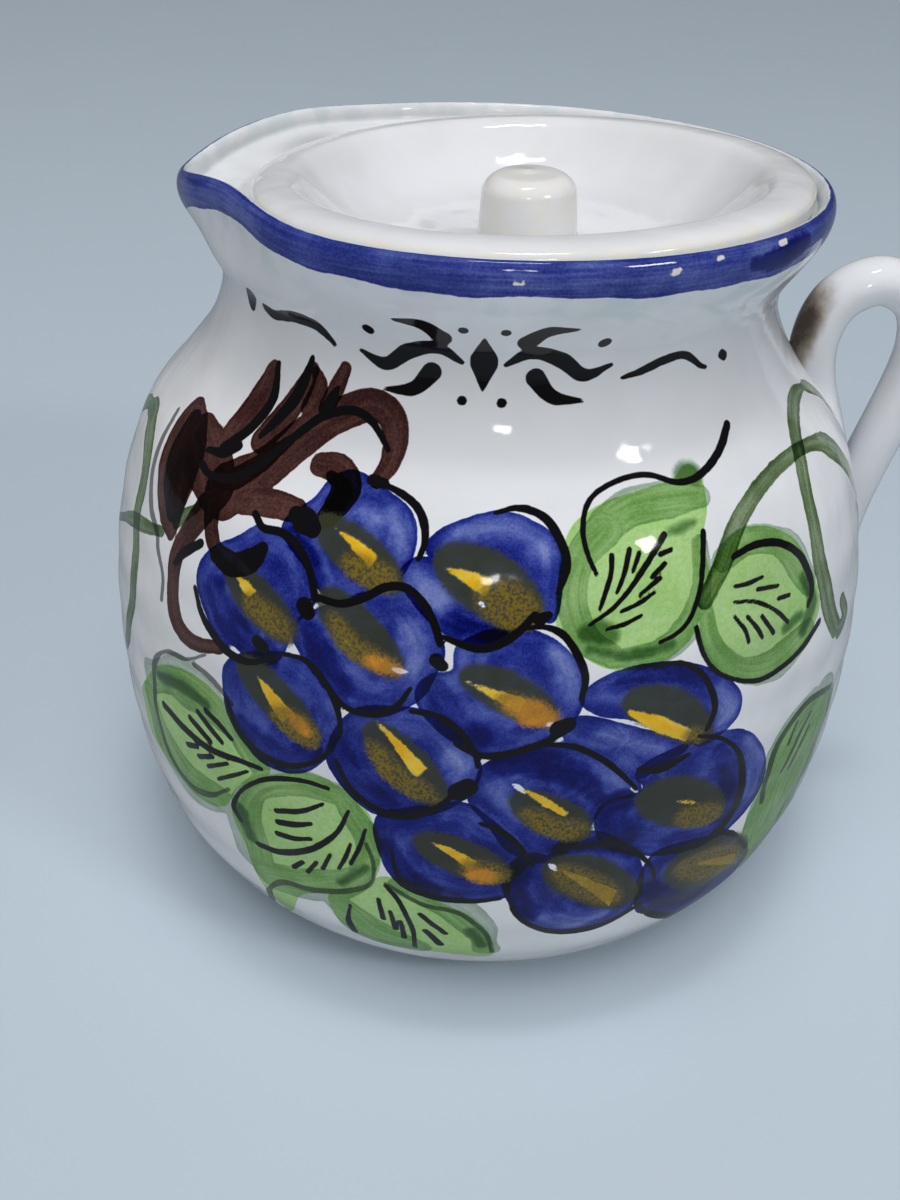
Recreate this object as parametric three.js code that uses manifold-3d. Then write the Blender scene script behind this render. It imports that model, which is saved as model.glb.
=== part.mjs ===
// Lidded earthenware jug: a thrown body with a pinched pouring lip, a pulled loop handle
// luted to the shoulder, and a loose dished lid with a stub knob.
// Units are millimetres. +Z is up, the lip points to -X, the handle to +X, the front is -Y.
// The origin is the middle of the flat base.
import * as THREE from "three";
import { mergeVertices } from "three/addons/utils/BufferGeometryUtils.js";
import Module from "manifold-3d";

// Body, outside: rings stacked from the base up
const BASE_RADIUS = 60;
const BELLY_RADIUS = 81.8;
const BELLY_HEIGHT = 50;
const SHOULDER_RADIUS = 67.6;
const SHOULDER_RISE = 56.8;
const SHOULDER_SLOPE = THREE.MathUtils.degToRad(45);
const NECK_RADIUS = 53.7;
const NECK_RISE = 23.4;
const RIM_RADIUS = 60.3;
const RIM_RISE = 17.8;

// How full the wall's curves are, as shares of the spans between those rings
const BASE_SPREAD = 0.6;
const BASE_LIFT = 0.1;
const BELLY_FULLNESS_BELOW = 0.64;
const BELLY_FULLNESS_ABOVE = 0.62;
const SHOULDER_EASE_BELOW = 0.3;
const SHOULDER_EASE_ABOVE = 0.6;
const NECK_FULLNESS = 0.28;
const RIM_FULLNESS = 0.32;

// Body, inside
const WALL = 5.5;
const FLOOR = 7;
const FLOOR_FILLET = 4;
const FLOOR_COVE = 12;
const LIP_WALL = 3;
const LEDGE_WIDTH = 13;
const LEDGE_SLOPE = THREE.MathUtils.degToRad(23);
const LEDGE_DEPTH = 3;
const LEDGE_THICKNESS = 2.7;
const LEDGE_NOSE = 1;

// Pouring lip: the rim pinched in on both sides of a small drooping tip
const PINCH_DEPTH = 4.2;
const PINCH_RISE = 1.9;
const PINCH_ANGLE = THREE.MathUtils.degToRad(35);
const PINCH_SPREAD = THREE.MathUtils.degToRad(13);
const TIP_REACH = 1.2;
const TIP_DROOP = 2.2;
const TIP_SPREAD = THREE.MathUtils.degToRad(11);
const LIP_HEIGHT = 14;
const LIP_FULL_HEIGHT = 5;
const LIP_WIDTH = 8;
const LIP_EDGE = 1;

// Lid, which lies pushed towards the handle on the sloping ledge and so leans a little
const LID_PLAY = 5.3;
const LID_EDGE = 4.6;
const LID_EDGE_ROUNDING = 2.2;
const LID_CHAMFER = 0.5;
const LID_FLANGE = 8.6;
const LID_CREST = 5.3;
const LID_CREST_DROP = 1;
const LID_DISH_DEPTH = 13;
const LID_DISH_COVE = 9;
const LID_DISH_LIFT = 3;
const LID_WALL = 4.5;
const LID_SEAT_WIDTH = 6;
const LID_SEAT_RELIEF = 1;
const LID_CONTACT = 2;
const LID_SPIGOT_TAPER = 3;
const LID_SPIGOT_DROP = 1.8;
const LID_BOWL_INSET = 16.5;

// Knob
const KNOB_RADIUS = 9.5;
const KNOB_HEIGHT = 12.2;
const KNOB_FOOT = 0.5;
const KNOB_FOOT_HEIGHT = 2;
const KNOB_TAPER = 0.4;
const KNOB_ROUNDING = 3.6;
const KNOB_CROWN = 0.3;
const KNOB_PAD = 1.5;

// Handle: heights are taken from the shoulder ring, and the reach from the belly
const HANDLE_THICKNESS = 9.4;
const HANDLE_WIDTH = 12;
const HANDLE_ROOT_THICKNESS = 12.69;
const HANDLE_ROOT_WIDTH = 16.2;
const HANDLE_ROOT_LENGTH = 24;
const HANDLE_OVERHANG = 7.9;
const HANDLE_ARCH_TOP = 26.9;
const HANDLE_ARCH_SPRING = 10.2;
const HANDLE_UPPER_ROOT = -16.8;
const HANDLE_LOWER_LIMB = -18.8;
const HANDLE_LOWER_ROOT = -44.8;
const HANDLE_CREVICE = 0.7;
const HANDLE_LOWER_PROUD = 2.6;
const HANDLE_BURY = 7;

// Clearances
const LUTE_GAP = 0.3;
const LID_GAP = 0.4;
const LID_SIDE_GAP = 0.7;
const LID_SPIGOT_GAP = 1.5;
const KNOB_GAP = 0.3;

// Facets
const BODY_SEGMENTS = 56;
const OUTSIDE_STEPS = 7;
const INSIDE_STEPS = 4;
const LEDGE_RINGS = 3;
const RIM_STEPS = 6;
const LID_SEGMENTS = 48;
const KNOB_SEGMENTS = 32;
const HANDLE_STEPS = 36;
const HANDLE_SIDES = 14;

const CERAMIC_WHITE = new THREE.Color(0.86, 0.87, 0.89);
const CERAMIC_IVORY = new THREE.Color(0.84, 0.84, 0.82);
const GLAZE_ROUGHNESS = 0.12;

// Heights and radii that several pieces share
const shoulderHeight = BELLY_HEIGHT + SHOULDER_RISE;
const neckHeight = shoulderHeight + NECK_RISE;
const rimHeight = neckHeight + RIM_RISE;
const ledgeRun = 1 / Math.tan(LEDGE_SLOPE);
const ledgeOuter = RIM_RADIUS - LIP_WALL;
const ledgeRadius = ledgeOuter - LEDGE_WIDTH;
const lidRadius = ledgeOuter - LID_PLAY;
const lidShift = LID_PLAY - LID_SIDE_GAP;

const wasm = await Module();
wasm.setup();

function point(radius, height) {
  return new THREE.Vector2(radius, height);
}

// Points along a cubic curve, without its first point
function bend(from, leave, arrive, to, steps) {
  const curve = new THREE.CubicBezierCurve(from, leave, arrive, to);
  return curve.getPoints(steps).slice(1);
}

function smooth(from, to, value) {
  return THREE.MathUtils.smoothstep(value, from, to);
}

// The wall from the base edge to the widest part of the rim, moved inwards by inset,
// with a number of steps along each of its four curves
function wallProfile(inset, steps) {
  const tangent = point(-Math.cos(SHOULDER_SLOPE), Math.sin(SHOULDER_SLOPE));
  const normal = point(tangent.y, -tangent.x);
  const flareRise = RIM_RISE - LIP_WALL;
  const base = point(BASE_RADIUS - inset, Math.max(inset, 0));
  const belly = point(BELLY_RADIUS - inset, BELLY_HEIGHT);
  const shoulder = point(SHOULDER_RADIUS, shoulderHeight).addScaledVector(normal, -inset);
  const neck = point(NECK_RADIUS - inset, neckHeight);
  const rim = point(RIM_RADIUS - inset, neckHeight + flareRise);
  const leaveBase = point(
    base.x + BASE_SPREAD * (belly.x - base.x),
    base.y + BASE_LIFT * BELLY_HEIGHT,
  );
  const underBelly = point(belly.x, belly.y - BELLY_FULLNESS_BELOW * BELLY_HEIGHT);
  const overBelly = point(belly.x, belly.y + BELLY_FULLNESS_ABOVE * (shoulder.y - belly.y));
  const outShoulder = shoulder.clone().addScaledVector(tangent, -SHOULDER_EASE_BELOW * NECK_RISE);
  const inShoulder = shoulder.clone().addScaledVector(tangent, SHOULDER_EASE_ABOVE * NECK_RISE);
  const underNeck = point(neck.x, neck.y - NECK_FULLNESS * NECK_RISE);
  const overNeck = point(neck.x, neck.y + NECK_FULLNESS * flareRise);
  const underRim = point(rim.x, rim.y - RIM_FULLNESS * flareRise);
  return {
    lower: [base, ...bend(base, leaveBase, underBelly, belly, steps)],
    upper: bend(belly, overBelly, outShoulder, shoulder, steps),
    throat: bend(shoulder, inShoulder, underNeck, neck, steps),
    flare: bend(neck, overNeck, underRim, rim, steps),
  };
}

function joined(profile) {
  return [...profile.lower, ...profile.upper, ...profile.throat, ...profile.flare];
}

// Outside radius of the body at a height
function outerRadius(height) {
  const points = joined(wallProfile(0, OUTSIDE_STEPS));
  for (let i = 1; i < points.length; i += 1) {
    if (points[i].y >= height) {
      const below = points[i - 1];
      const share = (height - below.y) / (points[i].y - below.y);
      return below.x + share * (points[i].x - below.x);
    }
  }
  return RIM_RADIUS;
}

// Height of the conical ledge that carries the lid
function ledgeHeight(radius) {
  return rimHeight - LEDGE_DEPTH + (radius - ledgeOuter) / ledgeRun;
}

// The ledge from the rim inwards to its nose, with rings where the lip still shapes it
function ledgeProfile() {
  const points = [];
  for (let ring = 0; ring <= LEDGE_RINGS; ring += 1) {
    const radius = ledgeOuter - (ring / LEDGE_RINGS) * LIP_WIDTH;
    points.push(point(radius, ledgeHeight(radius)));
  }
  const noseHeight = ledgeHeight(ledgeRadius);
  points.push(point(ledgeRadius + LEDGE_NOSE, ledgeHeight(ledgeRadius + LEDGE_NOSE)));
  points.push(point(ledgeRadius, noseHeight - LEDGE_NOSE));
  points.push(point(ledgeRadius, noseHeight - LEDGE_THICKNESS));
  return points;
}

// Half a turn of the rounded rim, from its outside to its inside
function rimProfile() {
  const half = LIP_WALL / 2;
  const points = [];
  for (let step = 1; step <= RIM_STEPS; step += 1) {
    const turn = (Math.PI * step) / RIM_STEPS;
    const radius = RIM_RADIUS - half + half * Math.cos(turn);
    points.push(point(radius, rimHeight - LIP_WALL + LIP_WALL * Math.sin(turn)));
  }
  return points;
}

// How far the pinched lip moves the rim outwards and upwards, at an angle from -X
function lipShift(angle) {
  const bump = (offset, spread) => Math.exp(-0.5 * (offset / spread) ** 2);
  const pinch = bump(Math.abs(angle) - PINCH_ANGLE, PINCH_SPREAD);
  const tip = bump(angle, TIP_SPREAD);
  return point(TIP_REACH * tip - PINCH_DEPTH * pinch, PINCH_RISE * pinch - TIP_DROOP * tip);
}

function shapeLip(geometry) {
  const position = geometry.attributes.position;
  for (let i = 0; i < position.count; i += 1) {
    const x = position.getX(i);
    const y = position.getY(i);
    const z = position.getZ(i);
    const radius = Math.hypot(x, y);
    const near = smooth(ledgeOuter - LIP_WIDTH, ledgeOuter - LIP_EDGE, radius);
    const share = near * smooth(rimHeight - LIP_HEIGHT, rimHeight - LIP_FULL_HEIGHT, z);
    if (share > 0) {
      const shift = lipShift(Math.atan2(y, -x)).multiplyScalar(share);
      const grow = (radius + shift.x) / radius;
      position.setXYZ(i, x * grow, y * grow, z + shift.y);
    }
  }
  geometry.computeVertexNormals();
  return geometry;
}

// A closed solid of revolution about Z, from a profile that starts and ends on the axis
function turned(profile, segments) {
  const geometry = new THREE.LatheGeometry(profile, segments);
  geometry.rotateX(Math.PI / 2);
  return geometry;
}

function bodyGeometry() {
  const inside = wallProfile(WALL, INSIDE_STEPS);
  const innerLow = inside.lower.filter((spot) => spot.y > FLOOR + FLOOR_FILLET);
  const innerWall = [...innerLow, ...inside.upper, ...inside.throat].reverse();
  const floorEdge = innerLow[0];
  const floorCorner = point(floorEdge.x - FLOOR_FILLET, FLOOR);
  const floorFlat = point(floorEdge.x - FLOOR_COVE, FLOOR);
  const profile = [
    point(0, 0),
    ...joined(wallProfile(0, OUTSIDE_STEPS)),
    ...rimProfile(),
    ...ledgeProfile(),
    ...innerWall,
    ...bend(floorEdge, floorCorner, floorCorner, floorFlat, INSIDE_STEPS),
    point(0, FLOOR),
  ];
  return shapeLip(turned(profile, BODY_SEGMENTS));
}

// The lid's section in its own frame: z is 0 at the crest of its rounded flange
function lidProfile() {
  const crest = point(lidRadius - LID_CREST, 0);
  const dish = point(lidRadius - LID_FLANGE, -LID_CREST_DROP);
  const floor = -LID_DISH_DEPTH;
  const pad = point(KNOB_RADIUS + KNOB_FOOT + KNOB_PAD, floor);
  const cove = point(dish.x - LID_DISH_COVE, floor);
  const rise = point(dish.x - LID_DISH_COVE, floor + LID_DISH_LIFT);
  const inCrest = point((dish.x + crest.x) / 2, 0);
  const edge = point(lidRadius, -LID_EDGE_ROUNDING);
  const outCrest = point((lidRadius + crest.x) / 2, 0);
  const overEdge = point(lidRadius, -LID_EDGE_ROUNDING / 4);
  const seat = (radius) => point(radius, -LID_EDGE - (lidRadius - radius) / ledgeRun);
  const spigot = seat(ledgeRadius - lidShift - LID_SPIGOT_GAP);
  spigot.y += LID_SEAT_RELIEF;
  const top = [
    point(0, floor),
    pad,
    ...bend(pad, cove, rise, dish, 8),
    ...bend(dish, inCrest, inCrest, crest, 3),
    ...bend(crest, outCrest, overEdge, edge, 4),
  ];
  const under = [
    point(lidRadius, -LID_EDGE + LID_CHAMFER),
    seat(lidRadius - LID_CHAMFER),
    seat(lidRadius - LID_SEAT_WIDTH),
    spigot,
    point(spigot.x - LID_SPIGOT_TAPER, floor - LID_SPIGOT_DROP),
    point(dish.x - LID_BOWL_INSET, floor - LID_WALL),
    point(0, floor - LID_WALL),
  ];
  return [...top, ...under].reverse();
}

function knobProfile() {
  const shoulder = point(KNOB_RADIUS - KNOB_TAPER, KNOB_HEIGHT - KNOB_ROUNDING);
  const flat = point(shoulder.x - KNOB_ROUNDING, KNOB_HEIGHT - KNOB_CROWN);
  const aboveShoulder = point(shoulder.x, (shoulder.y + flat.y) / 2);
  const besideFlat = point((shoulder.x + flat.x) / 2, flat.y);
  return [
    point(0, 0),
    point(KNOB_RADIUS + KNOB_FOOT, 0),
    point(KNOB_RADIUS, KNOB_FOOT_HEIGHT),
    shoulder,
    ...bend(shoulder, aboveShoulder, besideFlat, flat, 5),
    point(0, KNOB_HEIGHT),
  ];
}

// The handle's middle line, in the plane y = 0: up from the shoulder, over a round arch
// and down to the belly
function handleCurve() {
  const half = HANDLE_THICKNESS / 2;
  const onBody = (rise) => outerRadius(shoulderHeight + rise);
  const inner = onBody(HANDLE_ARCH_SPRING) + HANDLE_CREVICE + half;
  const outer = BELLY_RADIUS + HANDLE_OVERHANG - half;
  const archRise = HANDLE_ARCH_TOP - half - HANDLE_ARCH_SPRING;
  const spots = [point(onBody(HANDLE_UPPER_ROOT) - HANDLE_BURY, HANDLE_UPPER_ROOT)];
  for (const degrees of [180, 135, 90, 45, 0]) {
    const turn = THREE.MathUtils.degToRad(degrees);
    const x = (inner + outer) / 2 + ((outer - inner) / 2) * Math.cos(turn);
    spots.push(point(x, HANDLE_ARCH_SPRING + archRise * Math.sin(turn)));
  }
  spots.push(point(onBody(HANDLE_LOWER_LIMB) + HANDLE_LOWER_PROUD, HANDLE_LOWER_LIMB));
  spots.push(point(onBody(HANDLE_LOWER_ROOT) - HANDLE_BURY, HANDLE_LOWER_ROOT));
  const points = spots.map((spot) => new THREE.Vector3(spot.x, 0, shoulderHeight + spot.y));
  return new THREE.CatmullRomCurve3(points, false, "centripetal");
}

// A closed tube of oval sections along a curve in the plane y = 0, wider at its roots
function tubeGeometry(curve) {
  const positions = [];
  const indices = [];
  const across = new THREE.Vector3(0, 1, 0);
  const rootShare = HANDLE_ROOT_LENGTH / curve.getLength();
  for (let step = 0; step <= HANDLE_STEPS; step += 1) {
    const share = step / HANDLE_STEPS;
    const middle = curve.getPointAt(share);
    const outward = new THREE.Vector3().crossVectors(across, curve.getTangentAt(share));
    const root = 1 - smooth(0, rootShare, Math.min(share, 1 - share));
    const thickness = THREE.MathUtils.lerp(HANDLE_THICKNESS, HANDLE_ROOT_THICKNESS, root);
    const width = THREE.MathUtils.lerp(HANDLE_WIDTH, HANDLE_ROOT_WIDTH, root);
    for (let side = 0; side < HANDLE_SIDES; side += 1) {
      const turn = (2 * Math.PI * side) / HANDLE_SIDES;
      const spot = middle.clone();
      spot.addScaledVector(outward, (thickness / 2) * Math.cos(turn));
      spot.addScaledVector(across, (width / 2) * Math.sin(turn));
      positions.push(spot.x, spot.y, spot.z);
    }
  }
  for (let step = 0; step < HANDLE_STEPS; step += 1) {
    for (let side = 0; side < HANDLE_SIDES; side += 1) {
      const here = step * HANDLE_SIDES + side;
      const next = step * HANDLE_SIDES + ((side + 1) % HANDLE_SIDES);
      indices.push(here, next, here + HANDLE_SIDES);
      indices.push(next, next + HANDLE_SIDES, here + HANDLE_SIDES);
    }
  }
  const last = HANDLE_STEPS * HANDLE_SIDES;
  for (let side = 1; side < HANDLE_SIDES - 1; side += 1) {
    indices.push(0, side + 1, side);
    indices.push(last, last + side, last + side + 1);
  }
  const geometry = new THREE.BufferGeometry();
  geometry.setAttribute("position", new THREE.Float32BufferAttribute(positions, 3));
  geometry.setIndex(indices);
  return geometry;
}

function toSolid(geometry) {
  const bare = geometry.clone();
  bare.deleteAttribute("normal");
  bare.deleteAttribute("uv");
  const merged = mergeVertices(bare, 1e-4);
  const mesh = new wasm.Mesh({
    numProp: 3,
    vertProperties: new Float32Array(merged.attributes.position.array),
    triVerts: new Uint32Array(merged.index.array),
  });
  mesh.merge();
  return new wasm.Manifold(mesh);
}

function toGeometry(solid) {
  const mesh = solid.getMesh();
  const geometry = new THREE.BufferGeometry();
  geometry.setAttribute("position", new THREE.BufferAttribute(mesh.vertProperties, 3));
  geometry.setIndex(new THREE.BufferAttribute(mesh.triVerts, 1));
  geometry.computeVertexNormals();
  return geometry;
}

// The tube cut back to the body's outside, so that its roots follow the wall
function handleGeometry() {
  const outside = joined(wallProfile(-LUTE_GAP, OUTSIDE_STEPS));
  const capped = [point(0, 0), ...outside, point(0, outside[outside.length - 1].y)];
  const loop = toSolid(tubeGeometry(handleCurve()));
  return toGeometry(loop.subtract(toSolid(turned(capped, BODY_SEGMENTS))));
}

function piece(name, geometry, colour) {
  const material = new THREE.MeshStandardMaterial({
    color: colour,
    roughness: GLAZE_ROUGHNESS,
    metalness: 0,
  });
  const mesh = new THREE.Mesh(geometry, material);
  mesh.name = name;
  return mesh;
}

// On a cone, a ring moved sideways leans by the same share of the slope
function lidGroup() {
  const contact = lidRadius - LID_CONTACT;
  const seatDrop = LID_EDGE + LID_CONTACT / ledgeRun;
  const lid = new THREE.Group();
  lid.position.set(lidShift, 0, ledgeHeight(contact) + seatDrop + LID_GAP);
  lid.rotation.y = -Math.atan(lidShift / (ledgeRun * contact));
  lid.add(piece("lid_plate", turned(lidProfile(), LID_SEGMENTS), CERAMIC_WHITE));
  const knob = piece("lid_knob", turned(knobProfile(), KNOB_SEGMENTS), CERAMIC_IVORY);
  knob.position.z = KNOB_GAP - LID_DISH_DEPTH;
  lid.add(knob);
  return lid;
}

const jug = new THREE.Group();
jug.add(piece("jug_body", bodyGeometry(), CERAMIC_WHITE));
jug.add(piece("handle", handleGeometry(), CERAMIC_WHITE));
jug.add(lidGroup());

export default jug;
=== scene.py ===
"""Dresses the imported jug: white glaze, a blue rim, and grapes, leaves and a vine painted by brush.

Lengths are millimetres until a mesh or a lamp is made, and metres from there on.
The lip points to -X, the handle to +X, and the painted front faces -Y.
"""
import math
from collections import namedtuple

import bpy
import numpy as np
from mathutils import Matrix, Vector


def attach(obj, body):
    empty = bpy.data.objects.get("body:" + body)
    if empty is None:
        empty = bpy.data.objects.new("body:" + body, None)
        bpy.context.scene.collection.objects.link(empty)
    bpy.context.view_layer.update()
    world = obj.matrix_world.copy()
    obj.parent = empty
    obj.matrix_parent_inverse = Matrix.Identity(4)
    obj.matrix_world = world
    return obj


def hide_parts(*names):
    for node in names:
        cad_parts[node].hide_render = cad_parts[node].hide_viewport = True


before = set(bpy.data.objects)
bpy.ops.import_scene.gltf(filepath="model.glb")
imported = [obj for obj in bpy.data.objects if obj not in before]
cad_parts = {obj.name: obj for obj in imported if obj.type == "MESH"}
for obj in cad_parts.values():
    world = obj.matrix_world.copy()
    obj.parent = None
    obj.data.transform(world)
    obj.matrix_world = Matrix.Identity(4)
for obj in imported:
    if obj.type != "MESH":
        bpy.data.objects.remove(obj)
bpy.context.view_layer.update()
MM = 0.001

# Body, outside: rings stacked from the base up, the same as the solids have
BASE_RADIUS = 60
BELLY_RADIUS = 81.8
BELLY_HEIGHT = 50
SHOULDER_RADIUS = 67.6
SHOULDER_RISE = 56.8
SHOULDER_SLOPE = math.radians(45)
NECK_RADIUS = 53.7
NECK_RISE = 23.4
RIM_RADIUS = 60.3
RIM_RISE = 17.8

# How full the wall's curves are, as shares of the spans between those rings
BASE_SPREAD = 0.6
BASE_LIFT = 0.1
BELLY_FULLNESS_BELOW = 0.64
BELLY_FULLNESS_ABOVE = 0.62
SHOULDER_EASE_BELOW = 0.3
SHOULDER_EASE_ABOVE = 0.6
NECK_FULLNESS = 0.28
RIM_FULLNESS = 0.32

# Body, inside and underneath
WALL = 5.5
FLOOR = 7
FLOOR_COVE = 12
FLOOR_CORNER = 3
INNER_MARGIN = 4
LIP_WALL = 3
LEDGE_WIDTH = 13
LEDGE_SLOPE = math.radians(23)
LEDGE_DEPTH = 3
LEDGE_THICKNESS = 2.7
LEDGE_NOSE = 1.2
LEDGE_COVE = 2
FOOT_ROUNDING = 1.6
FOOT_RING = 6
FOOT_CHAMFER = 1
FOOT_RECESS = 0.8

# Throwing marks: rings and a twisted sway that the potter's fingers left, and where they fade
THROW_DEPTH = 0.10
THROW_PITCH = 0.55
THROW_SLANT = 0.8
SWAY_DEPTH = 0.12
SWAY_LOBES = 2
SWAY_TWIST = 0.03
THROW_RADII = (20, 40)
THROW_FADE = (24, 10)

# Pouring lip: the rim pinched in on both sides of a small drooping tip
LIP_ANGLE = math.radians(-90)
PINCH_DEPTH = 4.2
PINCH_RISE = 1.8
PINCH_ANGLE = math.radians(35)
PINCH_SPREAD = math.radians(13)
TIP_REACH = 1.2
TIP_DROOP = 2.2
TIP_SPREAD = math.radians(11)
LIP_HEIGHT = 14
LIP_FULL_HEIGHT = 5
LIP_WIDTH = 8
LIP_EDGE = 1

# Lid, which lies pushed towards the handle on the sloping ledge and so leans a little
LID_PLAY = 5.3
LID_SIDE_GAP = 0.7
LID_EDGE = 4.6
LID_EDGE_ROUNDING = 2.2
LID_CHAMFER = 2
LID_FLANGE = 8.6
LID_CREST = 5.3
LID_CREST_DROP = 1
LID_DISH_DEPTH = 13
LID_DISH_COVE = 9
LID_DISH_LIFT = 3
LID_WALL = 4.5
LID_SEAT_WIDTH = 6
LID_SEAT_RELIEF = 1
LID_CONTACT = 2
LID_GAP = 0.4
LID_SPIGOT_GAP = 1.5
LID_SPIGOT_TAPER = 3
LID_SPIGOT_DROP = 1.8
LID_BOWL_INSET = 16.5
LID_BOWL_TURN = 8
LID_BOWL_LIFT = 0.4

# Unevenness of the thrown lid, inside its edge
LID_SWAY = 0.12
LID_SWAY_LOBES = 2
LID_SWAY_TURN = 0.7
LID_RIPPLE = 0.05
LID_RIPPLE_PITCH = 0.9
LID_SWAY_FADE = (2, 12)

# Knob, and how uneven its upper part is
KNOB_RADIUS = 9.5
KNOB_HEIGHT = 12.2
KNOB_TAPER = 0.4
KNOB_ROUNDING = 3.6
KNOB_CROWN = 0.3
KNOB_FILLET = 2.2
KNOB_PAD = 1.5
KNOB_PAD_STEP = 1.1
KNOB_BED = 0.2
KNOB_SWAY = 0.012
KNOB_SWAY_LOBES = 3
KNOB_SWAY_TURN = 0.4
KNOB_SWAY_START = 3
KNOB_DIP = 0.18
KNOB_DIP_TURN = 1.1

# Handle: heights are taken from the shoulder ring, and the reach from the belly
HANDLE_THICKNESS = 9.2
HANDLE_WIDTH = 12
HANDLE_ROOT_THICKNESS = 12.6
HANDLE_ROOT_WIDTH = 16.2
HANDLE_ROOT_LENGTH = 24
HANDLE_OVERHANG = 7.8
HANDLE_ARCH_TOP = 26.9
HANDLE_ARCH_SPRING = 10.2
HANDLE_UPPER_ROOT = -16.8
HANDLE_LOWER_LIMB = -18.8
HANDLE_LOWER_ROOT = -44.8
HANDLE_CREVICE = 0.7
HANDLE_LOWER_PROUD = 2.6
HANDLE_BURY = 7

# Clay smeared over the wall at the handle's roots
LUTE_DEPTH = 2.5
LUTE_REACH = 3.2
LUTE_SPREAD = 2.4
LUTE_MOST = 1.2
LUTE_LEAST_AWAY = 0.5
LUTE_ROOT = (0.02, 0.7)
SLOPE_REACH = 0.5

# Painted shade on the handle, in its crevice by the neck: where it starts and ends along it, and on which
# side, as a cosine
CREVICE_SHADE_START = (17, 30)
CREVICE_SHADE_END = (31, 41)
CREVICE_SHADE_SIDE = (0.2, -0.9)

# Meshes: the painted front is fine enough to carry thin brush lines
FRONT_SPAN = math.radians(80)
PAINT_GRAIN = 0.55
PAINT_LAP_RINGS = 4
RIM_SEAM_RINGS = 2
FOOT_EDGE_RINGS = 2
BACK_STEP = math.radians(1.8)
CURVE_STEPS = 160
INNER_STEPS = 24
RIM_STEPS = 14
ROUND_STEPS = 6
COVE_STEPS = 8
LEDGE_POINTS = 16
FLOOR_POINTS = 8
LID_COLUMNS = 200
LID_EDGE_STEPS = 14
LID_CORNER_STEPS = 5
LID_DISH_STEPS = 36
KNOB_COLUMNS = 96
KNOB_SIDE_POINTS = 8
KNOB_ROUND_STEPS = 12
FLAT_POINTS = 6
HANDLE_RINGS = 150
HANDLE_SIDES = 44
HANDLE_STEPS = 40
ARCH_POINTS = 5
TINY = 1e-9

# Sockets of a node that mixes colours
MIX_SHARE = 0
MIX_FIRST = 6
MIX_SECOND = 7
MIX_RESULT = 2

# Strips of the bake map: the lowest and the highest share of it that each part takes
FRONT_STRIP = (0.41, 0.99)
BACK_STRIP = (0.21, 0.39)
HIDDEN_STRIP = (0.04, 0.19)
BASE_STRIP = (0.022, 0.034)
FLOOR_STRIP = (0.006, 0.018)
MAP_MARGIN = 0.01

# The photograph's camera, in its 900 by 1200 frame
PHOTO_SIZE = (900, 1200)
PHOTO_FOCAL = 1100
CAMERA_PLACE = np.array((0.0, -215.9, 196.3))
CAMERA_YAW = math.radians(-2.01)
CAMERA_PITCH = math.radians(34.36)
CAMERA_ROLL = math.radians(1.88)
CAMERA_CLIP = (0.01, 20)
SENSOR_WIDTH = 36
RAY_NEAR = 80
RAY_FAR = 360
RAY_STEPS = 2400

shoulder_height = BELLY_HEIGHT + SHOULDER_RISE
neck_height = shoulder_height + NECK_RISE
rim_height = neck_height + RIM_RISE
ledge_outer = RIM_RADIUS - LIP_WALL
ledge_radius = ledge_outer - LEDGE_WIDTH
lid_radius = ledge_outer - LID_PLAY
lid_shift = LID_PLAY - LID_SIDE_GAP

# Colours, linear red, green and blue
GLAZE_WHITE = (0.80, 0.815, 0.845)
GLAZE_SHADE = (0.74, 0.755, 0.775)
GLAZE_IVORY = (0.80, 0.785, 0.735)
CLAY = (0.62, 0.54, 0.45)
CHIP = (0.75, 0.72, 0.67)
# Brown and near-black painted shade for the handle's crevice; the brown also colours the glaze's dark
# specks
CREVICE_DEEP_SHADE = (0.050, 0.031, 0.017)
SPECK_AND_SHADE_BROWN = (0.30, 0.22, 0.15)
INK = (0.0045, 0.0040, 0.0050)
COBALT = (0.030, 0.048, 0.29)
RIM_BLUE = (0.045, 0.065, 0.30)
RIM_BLEED = (0.64, 0.72, 0.75)
OCHRE = (0.79, 0.44, 0.014)
ORANGE_OCHRE = (0.66, 0.27, 0.020)
FLECK_YELLOW = (0.19, 0.135, 0.018)
OLIVE = (0.038, 0.043, 0.018)
LIME = (0.36, 0.60, 0.20)
LEAF_SHADE = (0.36, 0.45, 0.38)
VINE_GREEN = (0.085, 0.135, 0.056)
STEM_BROWN = (0.060, 0.023, 0.020)
FLOOR_COLOUR = (0.53, 0.62, 0.70)
FLOOR_MIRRORED = (0.25, 0.29, 0.33)
SKY_COLOUR = (0.98, 0.985, 1.0)
FILL_COLOUR = (1.0, 0.92, 0.84)
LAMP_WHITE = (1.0, 1.0, 1.0)
BACKDROP_COLOUR = (0.36, 0.43, 0.48)

# Noise in the glaze and the paint: waves for each millimetre, octaves, and how strong the fine ones are
Noise = namedtuple("Noise", "frequency detail roughness")
WAVES = Noise(0.085, 2, 0.45)
PEEL = Noise(0.9, 2, 0.5)
GLOSS = Noise(0.22, 3, 0.5)
MILK = Noise(0.045, 3, 0.5)
CLOUD = Noise(0.14, 3, 0.5)
STREAK = Noise(0.85, 3, 0.6)
GRAIN = Noise(2.4, 3, 0.5)
RAG = Noise(0.55, 3, 0.5)
FLECK = Noise(1.8, 3, 0.6)
WEAR = Noise(0.25, 3, 0.5)
# Blotches the edge of the painted shade in the handle's crevice
CREVICE_SHADE_BLOTCH = Noise(0.3, 4, 0.6)
MOTTLE = Noise(0.01, 3, 0.5)

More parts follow.
